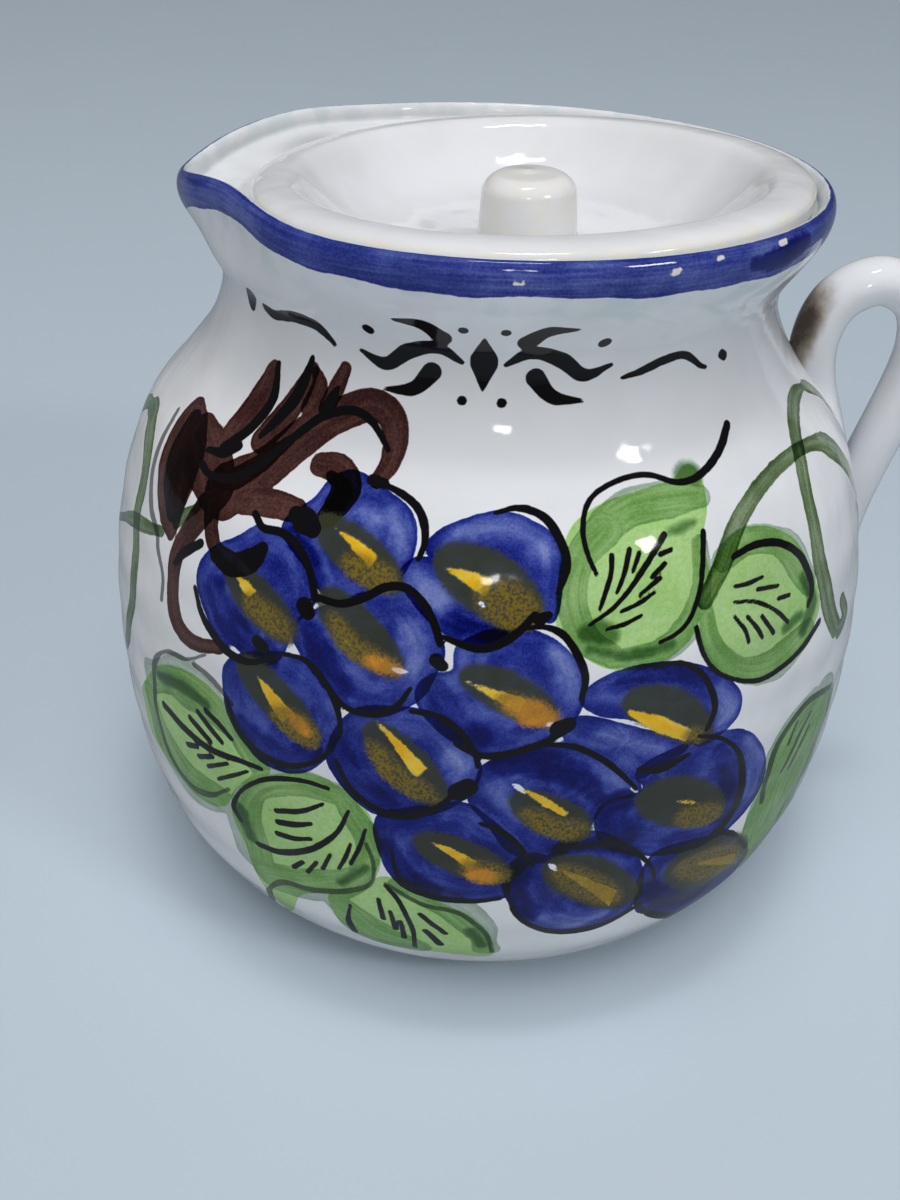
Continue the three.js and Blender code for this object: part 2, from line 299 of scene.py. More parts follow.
# Ramps: the two values between which something changes, and what it gives at each if not 0 and 1
GLOSS_RAMP = (0.3, 0.75, 0.049, 0.112)
MILK_RAMP = (0.35, 0.7)
CLOUD_RAMP = (0.3, 0.7)
STREAK_RAMP = (0.28, 0.72)
GRAIN_RAMP = (0.2, 0.8, 0.85, 1.15)
LOW_RAMP = (25, 90, 1.35, 1.0)
WEDGE_RAMP = (0.0, 1.0, 0.62, 1.05)
ORANGE_RAMP = (0.0, 1.0, 0.45, 0.95)
FLECK_RAMP = (0.36, 0.60, 0.15, 1.0)
POOL_RAMP = (-1.2, 0.0)
BLEED_REACH = (8.0, 0.0)
BLEED_RAMP = (0.35, 0.9)
WEAR_RAMP = (0.25, 0.6)
# The next two ramps turn the painted crevice shade from brown to near black
CREVICE_SHADE_RAMP = (0.42, 0.95, 0.0, 0.8)
CREVICE_DEEP_SHADE_RAMP = (0.72, 1.25, 0.0, 0.95)

# Glaze: its gloss and ripples, its dark specks, and where it lies thin on the knob and the lid
GLAZE_IOR = 1.4
GLAZE_RIPPLE = 0.5
PEEL_SHARE = 0.012
CREVICE_SHADE_BLOTCH_SHARE = 0.5
SPECK_SPACING = 9.0
SPECK_SIZE = 0.30
SPECK_CHOICE = 0.82
SPECK_SOFTNESS = 0.012
SPECK_COVER = 0.75
KNOB_THINNESS = 0.8
KNOB_IVORY = 0.35
LID_EDGE_WEAR = 1.4
LID_CREST_WEAR = 1.2
LID_CREST_THINNESS = 0.6

# A mark's edge: how soft and how ragged it is in millimetres, and how much a dry brush frays it
Edge = namedtuple("Edge", "soft ragged fray")
WASH_EDGE = Edge(0.12, 0.6, 0)
EDGES = {
    "wedge": Edge(0.28, 1.2, 0.5),
    "sliver": Edge(0.15, 0.6, 0),
    "deep_blue": Edge(0.8, 2.6, 0),
    # The lighter blue strokes, one of which is partly a painted highlight
    "thin_blue_and_highlight": Edge(1.8, 3.0, 0),
    "olive": Edge(0.6, 1.4, 2.0),
    "flecks": Edge(1.2, 1.4, 1.6),
    "orange": Edge(0.9, 1.8, 2.2),
    "leaf_dab": Edge(0.8, 1.6, 0),
    "lap": Edge(0.5, 2.0, 0),
    "faint_ink": Edge(0.14, 0.35, 0),
    "ink": Edge(0.10, 0.35, 0),
    "chip": Edge(0.1, 2.2, 0),
}
EDGE_RAG = 0.7

# A wash: its colour, how deep it lies where it is thin and where thick, and how much pools at its edge
Wash = namedtuple("Wash", "colour thin thick pool")
GRAPE_WASH = Wash(COBALT, 0.7, 1.4, 0.3)
LEAF_WASH = Wash(LIME, 0.75, 1.1, 0.1)
LEAF_SHADE_WASH = Wash(LEAF_SHADE, 0.55, 1.15, 0.2)
VINE_WASH = Wash(VINE_GREEN, 0.5, 1.0, 0.25)
STEM_WASH = Wash(STEM_BROWN, 0.8, 1.15, 0.1)
BAND_WASH = Wash(RIM_BLUE, 0.7, 1.25, 0.2)
STREAK_SHARE = 0.6
CLOUD_SHARE = 0.4

# How strongly single marks cover
DEEP_LOAD = 0.55
# The lighter strokes thin the blue; one of them is partly a painted highlight
THIN_AND_HIGHLIGHT_LOAD = -0.46
DAB_LOAD = 2.1
LAP_LOAD = 0.85
BLEED_LOAD = 0.6
FLECK_VEIL = -0.6
OLIVE_COVER = 0.92
FAINT_COVER = 0.78

# Brush streaks: how far apart those of two strokes lie in the noise, and how they are stretched
STREAK_APART = 31
STREAK_STRETCH = 0.06
STREAK_MARGIN = 0.4
GRAPE_STREAK = 0.35
BAND_STREAK = 1.3

# Studio: azimuth from the front to the right and elevation in degrees, distance and size in metres
Lamp = namedtuple("Lamp", "name azimuth elevation distance size power colour mirrored")
LAMPS = (
    Lamp("fill", -35, 11, 3.0, (2.0, 1.0), 14, FILL_COLOUR, False),
    Lamp("ceiling_tube", 10, 87, 1.2, (0.28, 0.10), 2.4, LAMP_WHITE, True),
    Lamp("front_pane", 4.2, 29, 1.2, (0.10, 0.12), 0.9, LAMP_WHITE, True),
    Lamp("side_pane", 54.5, 35.5, 1.2, (0.20, 0.13), 2.4, LAMP_WHITE, True),
)
SKY_AZIMUTH = 0
SKY_ELEVATION = 80
SKY_SPREAD = math.radians(45)
SKY_POWER = 1.75
WORLD_LIGHT = 0.07
STUDIO_REACH = 6.0
STUDIO_ROUGHNESS = 0.6
STUDIO_MOTTLE = 0.96

# Painting. Points are the photograph's pixels, and widths are millimetres as the camera sees them:
# a stroke that it sees aslant is wider on the wall. A stroke is its points and its widths at even
# steps along it.
PHOTO_SCALE = 5.6
ASLANT_REACH = 6
ASLANT_MOST = 2.6
GRAPE_SWELL = 0.5
LINE_WEIGHT = 0.87
LINE_STEP = 3.0
ORNAMENT_STEP = 0.375
BRUSH_STEPS = 8
OVAL_END = 0.98
OVAL_STEPS = 11
MARK_MARGIN = 2
FAR = 9.0

# A grape: the layer it is painted in, its outline, the olive middle and its greatest width, the bare
# yellow wedge inside that with its widths, and the flecked end with its greatest width.
# Grapes of one layer don't overlap.
Grape = namedtuple("Grape", "layer outline olive fullness wedge wedge_widths flecks fleck_width")
GRAPES = (
    Grape(
        0,
        ((330, 483), (354, 473), (388, 494), (411, 518), (410, 557), (383, 590), (330, 597), (305, 565),
         (283, 527), (315, 500)),
        ((319, 521), (356, 554), (398, 588)), 7.8,
        ((333, 528), (352, 543), (375, 563)), (0.2, 2.2, 2.8),
        ((346, 562), (366, 574), (393, 586)), 5.6,
    ),
    Grape(
        1,
        ((197, 580), (208, 553), (238, 539), (262, 528), (297, 550), (312, 600), (291, 625), (276, 660),
         (245, 662), (212, 628)),
        ((228, 572), (260, 606), (292, 639)), 6.8,
        ((232, 573), (241, 583), (252, 596)), (0.3, 1.7, 2.2),
        ((244, 598), (264, 616), (288, 636)), 4.2,
    ),
    Grape(
        2,
        ((299, 622), (335, 606), (395, 590), (426, 612), (442, 650), (434, 674), (421, 696), (398, 710),
         (370, 715), (332, 695), (296, 645)),
        ((322, 594), (358, 636), (397, 673)), 8.4,
        ((340, 634), (347, 643), (354, 652)), (0.3, 0.8, 0.2),
        ((330, 616), (352, 650), (394, 670)), 4.4,
    ),
    Grape(
        1,
        ((402, 580), (415, 561), (436, 562), (428, 548), (446, 530), (498, 514), (540, 528), (560, 552),
         (558, 600), (551, 622), (536, 612), (518, 634), (486, 648), (436, 626)),
        ((444, 558), (490, 586), (534, 619)), 10.6,
        ((444, 568), (467, 578), (490, 589)), (0.4, 2.5, 3.6),
        ((486, 596), (510, 608), (532, 620)), 7.6,
    ),
    Grape(
        0,
        ((417, 698), (430, 678), (455, 672), (460, 647), (500, 632), (542, 637), (572, 660), (583, 698),
         (566, 726), (524, 748), (478, 752), (438, 729)),
        ((463, 674), (508, 694), (555, 723)), 7.8,
        ((466, 682), (492, 694), (524, 708)), (0.3, 2.0, 3.2),
        ((498, 700), (524, 710), (550, 722)), 4.6,
    ),
    Grape(
        1,
        ((583, 700), (608, 678), (656, 665), (700, 668), (735, 687), (738, 715), (712, 740), (690, 742),
         (640, 720), (600, 714)),
        ((628, 700), (666, 710), (711, 736)), 8.6,
        ((628, 712), (658, 724), (690, 737)), (1.0, 3.4, 2.6),
        ((688, 736), (700, 738)), 3.2,
    ),
    Grape(
        0,
        ((230, 661), (224, 699), (240, 737), (266, 765), (304, 771), (336, 740), (335, 704), (316, 676),
         (284, 656)),
        ((240, 662), (276, 702), (314, 744)), 6.6,
        ((256, 676), (270, 697), (287, 720)), (0.2, 2.2, 3.0),
        ((276, 716), (294, 730), (314, 743)), 5.4,
    ),
    Grape(
        1,
        ((328, 758), (352, 714), (392, 710), (432, 716), (466, 743), (479, 775), (452, 806), (406, 818),
         (362, 806)),
        ((370, 728), (402, 766), (440, 801)), 8.2,
        ((375, 721), (396, 745), (421, 775)), (0.2, 2.0, 3.0),
        ((368, 744), (396, 780), (436, 800)), 4.4,
    ),
    Grape(
        2,
        ((488, 766), (530, 750), (584, 746), (622, 767), (640, 793), (608, 802), (588, 828), (568, 850),
         (545, 863), (512, 853), (490, 826), (471, 802), (478, 782)),
        ((516, 798), (549, 816), (587, 834)), 7.4,
        ((524, 791), (545, 803), (568, 817)), (0.5, 1.9, 1.3),
        ((524, 812), (556, 831), (584, 830)), 4.2,
    ),
    Grape(
        0,
        ((639, 772), (680, 749), (740, 732), (764, 754), (760, 788), (740, 818), (704, 845), (655, 855),
         (611, 849), (598, 831), (603, 808), (645, 790)),
        ((645, 797), (683, 803), (720, 815)), 8.8,
        ((674, 802), (688, 803), (703, 804)), (0.2, 0.9, 0.2),
        ((680, 816), (698, 820), (716, 818)), 4.6,
    ),
    Grape(
        0,
        ((379, 818), (410, 811), (458, 805), (487, 820), (526, 860), (508, 884), (504, 898), (452, 903),
         (403, 887), (379, 850)),
        ((418, 840), (458, 858), (504, 879)), 6.6,
        ((430, 843), (450, 853), (474, 868)), (0.2, 1.7, 2.3),
        ((466, 868), (484, 876), (502, 878)), 4.4,
    ),
    Grape(
        1,
        ((507, 872), (530, 856), (550, 858), (566, 839), (604, 835), (637, 860), (640, 893), (614, 920),
         (570, 932), (530, 925), (507, 896)),
        ((553, 868), (590, 882), (628, 902)), 8.2,
        ((556, 869), (585, 883), (614, 900)), (0.3, 2.0, 3.4),
        ((556, 870), (586, 886), (618, 902)), 4.8,
    ),
    Grape(
        2,
        ((642, 876), (658, 854), (702, 840), (733, 835), (747, 855), (722, 884), (685, 911), (646, 914),
         (637, 905)),
        ((674, 868), (706, 864), (740, 859)), 6.0,
        ((692, 866), (714, 863), (738, 859)), (0.3, 1.3, 1.9),
        ((680, 868), (706, 865), (738, 860)), 3.8,
    ),
)
GRAPE_LAYERS = 1 + max(grape.layer for grape in GRAPES)

# A second blue stroke under one grape, beyond a bare white wedge
GRAPE_TAIL = ((582, 719), (640, 731), (688, 745), (655, 768), (640, 776), (605, 756), (566, 738))
GRAPE_TAIL_LAYER = 2

# Where the brush laid more blue, and where it left less; the first lighter stroke, over the top of one
# grape, is partly a painted highlight
DEEP_BLUE = (
    (((617, 690), (640, 678), (670, 673), (702, 682)), (2.4, 3.8, 3.8, 2.6)),
    (((500, 766), (540, 764), (580, 778), (600, 800)), (3.6, 5.4, 5.4, 3.0)),
    (((622, 800), (612, 820), (628, 840)), (3.6, 5.4, 4.0)),
    (((522, 868), (516, 894), (528, 916)), (3.6, 4.2, 3.6)),
    (((556, 850), (600, 845), (632, 854)), (2.0, 2.8, 2.0)),
    (((214, 590), (236, 636), (266, 655)), (3.4, 5.0, 4.4)),
    (((312, 634), (322, 660), (340, 690)), (3.4, 5.0, 4.0)),
    (((452, 622), (478, 634), (506, 630)), (3.0, 3.8, 3.0)),
    (((436, 692), (452, 722), (480, 740)), (4.6, 5.6, 4.0)),
    (((338, 748), (354, 784), (384, 806)), (3.6, 4.6, 3.8)),
    (((242, 728), (276, 756), (314, 754)), (3.0, 3.8, 3.0)),
    (((292, 536), (306, 560), (318, 588)), (3.4, 4.2, 3.0)),
    (((388, 846), (402, 874), (430, 890)), (2.6, 3.4, 2.6)),
    (((650, 890), (672, 902), (700, 892)), (3.4, 4.0, 3.0)),
    (((720, 752), (734, 778), (722, 812)), (3.0, 4.0, 3.0)),
)
THIN_BLUE_AND_HIGHLIGHT = (
    # Partly lighter blue and partly a painted highlight, where a lamp's reflection lies on the grape's
    # top
    (((456, 534), (486, 526), (522, 532), (546, 552)), (2.6, 4.0, 4.6, 4.0)),
    (((414, 578), (428, 590), (440, 604)), (3.6, 4.4, 3.0)),
    (((410, 632), (416, 648), (414, 664)), (4.4, 6.0, 4.0)),
    (((392, 512), (400, 530), (400, 550)), (2.6, 3.0, 2.4)),
    (((722, 690), (730, 704), (726, 722)), (3.4, 4.4, 3.0)),
    (((556, 656), (568, 676), (572, 698)), (3.0, 4.0, 3.0)),
    (((454, 752), (464, 768), (460, 782)), (3.4, 4.4, 3.0)),
    (((490, 788), (502, 800), (518, 818)), (3.4, 4.4, 3.6)),
    (((748, 744), (756, 766), (750, 788)), (2.8, 3.6, 2.8)),
    (((544, 920), (570, 922), (598, 914)), (2.6, 3.4, 2.4)),
    (((344, 520), (362, 510), (380, 520)), (1.6, 2.0, 1.6)),
    (((604, 732), (634, 742), (662, 750)), (2.6, 3.6, 2.6)),
    (((612, 778), (624, 786), (634, 792)), (2.6, 3.4, 2.0)),
)

# Thick ochre at the lower ends of some olive middles
ORANGE = (
    (((512, 707), (532, 714), (551, 720)), (2.4, 4.8, 3.0)),
    (((366, 661), (380, 666), (396, 670)), (1.6, 3.0, 2.0)),
    (((292, 722), (299, 727), (305, 732)), (1.4, 2.2, 1.4)),
    (((472, 875), (482, 877), (492, 878)), (1.6, 2.6, 1.8)),
)

# Bare white slivers that the blue leaves
SLIVERS = (
    (((512, 784), (518, 788), (525, 793)), (0.3, 1.2, 0.8)),
    (((392, 669), (400, 672), (407, 673)), (0.6, 1.3, 0.4)),
    (((228, 647), (233, 651), (238, 654)), (0.4, 1.0, 0.5)),
    (((543, 725), (550, 725), (557, 724)), (0.4, 1.0, 0.3)),
    (((549, 865), (553, 868), (557, 872)), (0.4, 1.1, 0.6)),
    (((481, 604), (484, 607)), (0.9, 0.8)),
    (((632, 788), (637, 793)), (0.8, 0.8)),
)

# Outlines of the leaves
LEAVES = (
    ((562, 556), (574, 524), (604, 502), (645, 488), (672, 479), (687, 463), (702, 480), (707, 512),
     (703, 540), (709, 572), (703, 610), (690, 640), (660, 664), (620, 671), (585, 658), (558, 630),
     (557, 592)),
    ((702, 602), (712, 565), (735, 533), (765, 526), (795, 540), (812, 570), (820, 605), (808, 640),
     (785, 668), (755, 681), (722, 672), (703, 645)),
    ((833, 686), (806, 702), (778, 740), (763, 784), (755, 806), (744, 828), (745, 866), (764, 846),
     (788, 808), (810, 762), (826, 716)),
    ((144, 681), (160, 665), (193, 676), (223, 704), (242, 741), (269, 768), (258, 782), (238, 786),
     (223, 807), (193, 793), (156, 741), (143, 699)),
    ((233, 800), (250, 780), (303, 774), (338, 788), (370, 818), (380, 865), (359, 891), (303, 895),
     (290, 911), (258, 878), (247, 849), (234, 822)),
    ((328, 895), (354, 892), (386, 877), (431, 900), (473, 919), (492, 941), (490, 957), (445, 954),
     (382, 944), (340, 921)),
)

# Darker green strokes over the leaves
LEAF_STROKES = (
    (((606, 525), (630, 508), (664, 500), (700, 496)), (6, 6.5, 6.5, 4)),
    (((604, 530), (580, 560), (572, 600), (586, 640), (612, 656)), (6, 5, 5, 5, 4)),
    (((700, 545), (702, 585), (690, 625), (660, 652), (612, 660)), (3, 3.6, 4.6, 4.4, 3)),
    (((722, 560), (750, 540), (785, 545), (808, 580)), (4, 5, 5, 3.4)),
    (((706, 606), (712, 644), (740, 670), (775, 664), (808, 632)), (2.5, 4, 4.6, 4.4, 2.5)),
    (((812, 702), (792, 734), (774, 772), (762, 806)), (2.4, 4.4, 4, 2)),
    (((150, 676), (176, 680), (204, 700), (228, 728)), (4, 6, 5, 3)),
    (((150, 696), (164, 740), (190, 782), (222, 800)), (2.4, 4, 4.6, 3)),
    (((228, 716), (246, 752), (262, 772)), (2, 3.4, 3)),
    (((338, 796), (296, 783), (258, 788), (244, 816), (254, 856)), (3.4, 4.4, 5, 5, 4)),
    (((346, 806), (368, 846), (354, 880), (310, 886), (270, 878)), (3.4, 4.4, 4.6, 4.6, 3.5)),
    (((336, 902), (372, 932), (412, 946)), (3, 4.4, 3)),
    (((400, 888), (448, 906), (478, 930), (486, 950)), (3, 4.4, 5, 4)),
    (((762, 812), (752, 838), (748, 862)), (2, 3.4, 2)),
    (((820, 706), (802, 745), (778, 792), (755, 846)), (5.4, 7.4, 7, 5.4)),
    (((826, 696), (796, 742), (770, 796), (750, 856)), (3, 5, 4, 2)),
    (((828, 702), (812, 748), (790, 798), (756, 846)), (3, 4.4, 4.4, 3)),
)

# The darkest dabs of green
LEAF_DABS = (
    (((586, 634), (600, 633), (614, 637)), (2.6, 4.4, 2.2)),
    (((670, 533), (682, 528), (694, 522)), (0.9, 1.5, 0.9)),
    (((680, 474), (690, 472), (696, 478)), (2.6, 3.6, 2)),
    (((590, 650), (630, 656), (672, 644)), (1.0, 1.5, 0.9)),
    (((804, 578), (812, 602), (804, 630)), (1.0, 1.7, 1.2)),
    (((786, 628), (800, 616)), (1.3, 1.1)),
    (((158, 676), (186, 690), (206, 706)), (1.0, 1.6, 1.0)),
    (((240, 810), (250, 838)), (1.5, 1.3)),
    (((340, 884), (366, 868)), (1.2, 1.0)),
    (((470, 932), (482, 946)), (1.4, 1.1)),
)

# Grey-green vine tendrils, in two sets so that they darken where they cross
TENDRILS = (
    (
        (((706, 600), (722, 565), (740, 520), (765, 480), (795, 452), (820, 443), (840, 455), (855, 485),
          (858, 510)),
         (3.0, 3.2, 3.0, 2.8, 2.6, 1.8, 1.0)),
        (((136, 412), (146, 402), (152, 408), (149, 427), (146, 456), (141, 485), (136, 514), (134, 552),
          (132, 588), (126, 641)),
         (1.4, 1.8, 1.6, 1.6, 1.4)),
    ),
    (
        (((834, 412), (824, 399), (813, 389), (803, 387), (795, 400), (795, 430), (803, 470), (815, 530),
          (825, 585), (832, 615), (838, 630), (845, 615), (843, 600)),
         (0.6, 1.5, 2.0, 2.0, 2.2, 2.0, 1.2)),
        (((114, 516), (129, 518), (148, 528), (160, 532)), (1.4, 1.8, 1.8)),
        (((174, 523), (186, 514), (198, 507)), (1.8, 1.8, 1.2)),
    ),
)

# Brown stem, in two sets so that it darkens where strokes lie over each other
STEM = (
    (
        (((194, 410), (187, 426), (180, 448), (174, 475), (169, 505), (169, 535)),
         (2.6, 6.0, 7.2, 6.2, 4.2, 1.2)),
        (((225, 490), (262, 470), (292, 446), (322, 424), (350, 411), (374, 405), (391, 417), (395, 440),
          (389, 465), (377, 481)),
         (9, 7.4, 6.6, 6.6, 6.4, 5.8, 5.2, 4.6, 3.8, 2.6)),
        (((244, 502), (270, 504), (294, 511)), (4.6, 5.0, 4.2)),
        (((321, 465), (337, 469), (346, 485), (338, 503), (325, 519)), (4.2, 5.2, 5.4, 4.6, 3.4)),
        (((206, 507), (190, 528), (177, 550), (172, 575), (171, 600), (175, 620), (184, 636), (198, 645),
          (218, 648)),
         (4.2, 3.4, 2.6, 2.2, 2.0, 2.0, 2.0, 2.2, 2.2)),
        (((316, 372), (319, 388), (306, 408)), (1.6, 3.2, 2.4)),
    ),
    (
        (((192, 420), (185, 440), (178, 470), (172, 508)), (2.2, 5.0, 5.2, 3.0)),
        (((200, 432), (206, 460), (214, 488)), (5.0, 8.4, 7.0)),
        (((226, 441), (248, 413), (263, 390), (273, 370)), (3.8, 4.0, 3.8, 2.4)),
        (((262, 440), (288, 410), (303, 388), (312, 370)), (4.0, 4.2, 3.6, 2.4)),
        (((325, 409), (335, 391), (345, 369)), (2.8, 3.0, 2.2)),
        (((211, 504), (210, 534), (215, 550), (230, 560)), (3.0, 2.5, 2.5, 2.6)),
        (((330, 476), (344, 488), (336, 504), (324, 520)), (1.8, 3.0, 3.2, 2.2)),
        (((236, 478), (262, 462), (290, 440)), (3.6, 3.0, 1.6)),
    ),
)

# Black brush lines: the stem's accents
STEM_LINES = (
    (((278, 364), (271, 400), (250, 428), (222, 448)), (0.9, 1.6, 1.7, 1.5)),
    (((312, 358), (306, 376), (294, 399), (276, 420), (260, 436)), (0.9, 1.9, 2.1, 1.8, 1.0)),
    (((200, 464), (208, 475), (230, 479), (257, 467), (290, 440), (322, 417), (352, 411), (372, 423),
      (388, 451)),
     (1.2, 1.7, 1.5, 1.5, 1.7, 1.5, 0.9)),
    (((199, 544), (183, 553), (174, 563)), (1.6, 1.7, 0.9)),
    (((213, 556), (231, 566), (250, 561), (262, 549)), (2.2, 4.2, 4.4, 2.2)),
    (((294, 514), (303, 521), (312, 530)), (2.6, 4.6, 3.0)),
    (((324, 411), (331, 400), (338, 388)), (1.8, 2.2, 0.8)),
    (((206, 450), (222, 453), (238, 447)), (1.2, 1.9, 1.4)),
    (((372, 480), (384, 484)), (2.0, 1.8)),
)

# Black contours round the grapes
GRAPE_LINES = (
    (((372, 480), (395, 490), (415, 505), (424, 525), (424, 545), (418, 560)), (0.8, 1.6, 1.7, 1.0)),
    (((254, 514), (262, 528), (282, 534), (300, 550), (310, 575), (314, 600)), (1.4, 1.8, 1.7, 1.6)),
    (((194, 588), (200, 615), (215, 640), (230, 655), (250, 663), (275, 658)), (0.8, 1.3, 1.5, 1.0)),
    (((315, 598), (340, 605), (365, 598), (385, 588), (405, 588), (420, 600), (432, 620), (440, 645)),
     (1.4, 1.7, 1.7, 1.7, 1.5)),
    (((330, 690), (345, 708), (370, 715), (395, 708), (410, 690)), (0.7, 1.3, 1.5, 0.9)),
    (((495, 513), (520, 508), (545, 518), (560, 540), (567, 560), (565, 578), (558, 593)),
     (0.8, 1.6, 1.9, 1.7, 1.0)),
    (((440, 637), (460, 645), (480, 650), (500, 645), (520, 632), (535, 615)), (1.0, 1.6, 1.8, 1.4)),
    (((525, 630), (545, 628), (565, 637), (580, 660), (586, 680), (582, 700)), (0.8, 1.5, 1.7, 1.2)),
    (((455, 745), (480, 757), (510, 755), (540, 745), (560, 735)), (1.0, 1.6, 1.6, 1.3)),
    (((655, 668), (680, 663), (700, 672), (712, 690), (715, 710), (708, 730)), (0.7, 1.3, 1.4, 0.9)),
    (((280, 655), (305, 662), (325, 685), (337, 710), (340, 735)), (0.8, 1.3, 1.4, 0.9)),
    (((225, 700), (240, 735), (262, 757), (290, 767), (315, 762), (330, 750)), (0.7, 1.2, 1.3, 0.9)),
    (((410, 712), (440, 718), (462, 735), (475, 755), (478, 768)), (0.9, 1.4, 1.5, 1.2)),
    (((335, 760), (350, 790), (375, 810), (405, 818), (435, 810), (455, 795)), (0.8, 1.2, 1.4, 1.2)),
    (((540, 745), (575, 748), (605, 762), (625, 778), (637, 790)), (0.9, 1.4, 1.4, 1.0)),
    (((700, 737), (725, 740), (740, 755), (743, 780), (735, 810), (720, 830), (700, 845), (660, 855)),
     (0.8, 1.2, 1.2, 1.0, 0.7)),
    (((640, 770), (660, 770), (690, 755)), (1.2, 1.6, 0.7)),
    (((480, 825), (500, 832), (520, 848), (533, 868)), (0.8, 1.3, 0.9)),
    (((390, 850), (400, 880), (430, 897), (470, 903), (500, 900)), (0.7, 1.0, 1.1, 0.8)),
    (((565, 850), (605, 845), (630, 850), (650, 865), (656, 880)), (0.8, 1.3, 1.3, 0.8)),
    (((508, 895), (515, 915), (540, 930), (570, 933), (605, 925), (640, 905)), (0.7, 1.0, 1.1, 0.7)),
    (((715, 832), (735, 835), (747, 848)), (0.7, 1.1, 0.8)),
    (((635, 900), (650, 915), (680, 915), (715, 900), (745, 868)), (0.7, 1.0, 1.0, 0.7)),
    (((303, 607), (307, 613)), (3.2, 3.0)),
    (((256, 643), (262, 648)), (2.4, 2.2)),
    (((436, 661), (442, 667)), (2.8, 2.4)),
    (((559, 730), (569, 725)), (3.4, 2.8)),
    (((459, 793), (468, 788)), (4.0, 3.6)),
    (((541, 620), (549, 616)), (2.6, 1.6)),
)

# Black contours and veins of the leaves
LEAF_LINES = (
    (((597, 575), (588, 555), (583, 530), (587, 505), (600, 490), (625, 478), (650, 475), (675, 482),
      (695, 478), (712, 462), (722, 445), (728, 425)),
     (0.9, 1.1, 1.1, 1.1, 1.3, 1.7, 1.5)),
    (((704, 532), (703, 560), (700, 590), (693, 615), (680, 632), (660, 643)), (1.2, 1.1, 1.0, 0.8)),
    (((590, 626), (615, 607), (640, 575), (665, 535)), (0.9, 1.1, 1.4)),
    (((612, 556), (611, 575), (600, 610)), (1.1, 1.1, 0.8)),
    (((630, 550), (625, 572), (617, 593)), (1.1, 1.1, 0.8)),
    (((640, 553), (633, 572)), (1.0, 0.8)),
    (((660, 555), (672, 550)), (1.0, 1.1)),
    (((652, 577), (665, 564)), (1.0, 1.1)),
    (((640, 595), (660, 578)), (0.9, 1.1)),
    (((622, 612), (640, 603), (655, 592)), (0.9, 1.0, 0.9)),
    (((607, 630), (625, 625), (642, 616)), (0.8, 1.0, 0.8)),
    (((733, 557), (755, 545), (780, 543), (800, 555), (810, 575), (812, 590), (808, 605)),
     (1.2, 1.7, 1.3, 0.7)),
    (((697, 628), (702, 650), (715, 670), (735, 680), (760, 680), (785, 665), (805, 645), (820, 622)),
     (1.1, 1.1, 0.8, 0.7)),
    (((735, 587), (750, 583), (763, 577)), (0.9, 1.0, 0.8)),
    (((758, 590), (779, 586)), (1.0, 0.9)),
    (((779, 599), (790, 595)), (0.9, 0.8)),
    (((735, 603), (755, 602), (775, 610), (788, 622)), (0.8, 1.0, 0.9)),
    (((735, 617), (745, 630), (749, 642)), (0.9, 0.9, 0.8)),
    (((748, 617), (757, 628), (763, 638)), (0.9, 1.0, 0.8)),
    (((762, 616), (774, 633)), (0.9, 0.9)),
    (((163, 705), (185, 730), (210, 750), (240, 762), (260, 770)), (0.8, 0.9, 1.0, 0.8)),
    (((205, 711), (218, 725), (230, 740)), (0.9, 1.0, 0.8)),
    (((197, 713), (208, 728), (220, 743)), (0.9, 1.0, 0.8)),
    (((189, 719), (200, 732), (209, 742)), (0.8, 0.9, 0.8)),
    (((187, 745), (197, 747)), (0.9, 0.8)),
    (((198, 757), (212, 757)), (0.9, 0.9)),
    (((207, 767), (227, 764)), (0.9, 0.8)),
    (((217, 780), (232, 776), (247, 772)), (0.8, 0.9, 0.7)),
    (((327, 790), (300, 782), (265, 780), (242, 790), (233, 805), (240, 820)), (0.8, 1.0, 1.0, 0.7)),
    (((257, 845), (280, 853), (310, 850), (335, 835), (348, 812)), (0.8, 1.2, 1.3, 0.9)),
    (((275, 812), (300, 812), (322, 805)), (1.0, 1.1, 0.8)),
    (((277, 823), (295, 826), (310, 825)), (1.0, 1.1, 0.8)),
    (((277, 834), (293, 839), (310, 840)), (0.9, 0.9, 0.7)),
    (((293, 868), (302, 863)), (1.1, 1.0)),
    (((307, 873), (316, 863)), (1.1, 1.0)),
    (((322, 870), (330, 855)), (1.1, 0.9)),
    (((338, 870), (345, 858), (350, 845)), (0.9, 1.1, 0.8)),
    (((350, 865), (359, 848), (365, 830)), (0.9, 1.1, 0.8)),
    (((385, 887), (400, 905), (412, 930), (415, 948)), (0.8, 0.9, 0.8)),
    (((378, 900), (383, 920)), (0.8, 0.9)),
    (((390, 912), (395, 930)), (0.8, 0.9)),
    (((400, 922), (404, 938)), (0.8, 0.9)),
    (((420, 915), (433, 926), (445, 935)), (0.8, 0.9, 0.7)),
    (((425, 932), (440, 945)), (0.8, 0.8)),
    (((350, 905), (348, 920), (355, 932)), (0.7, 0.8, 0.7)),
)

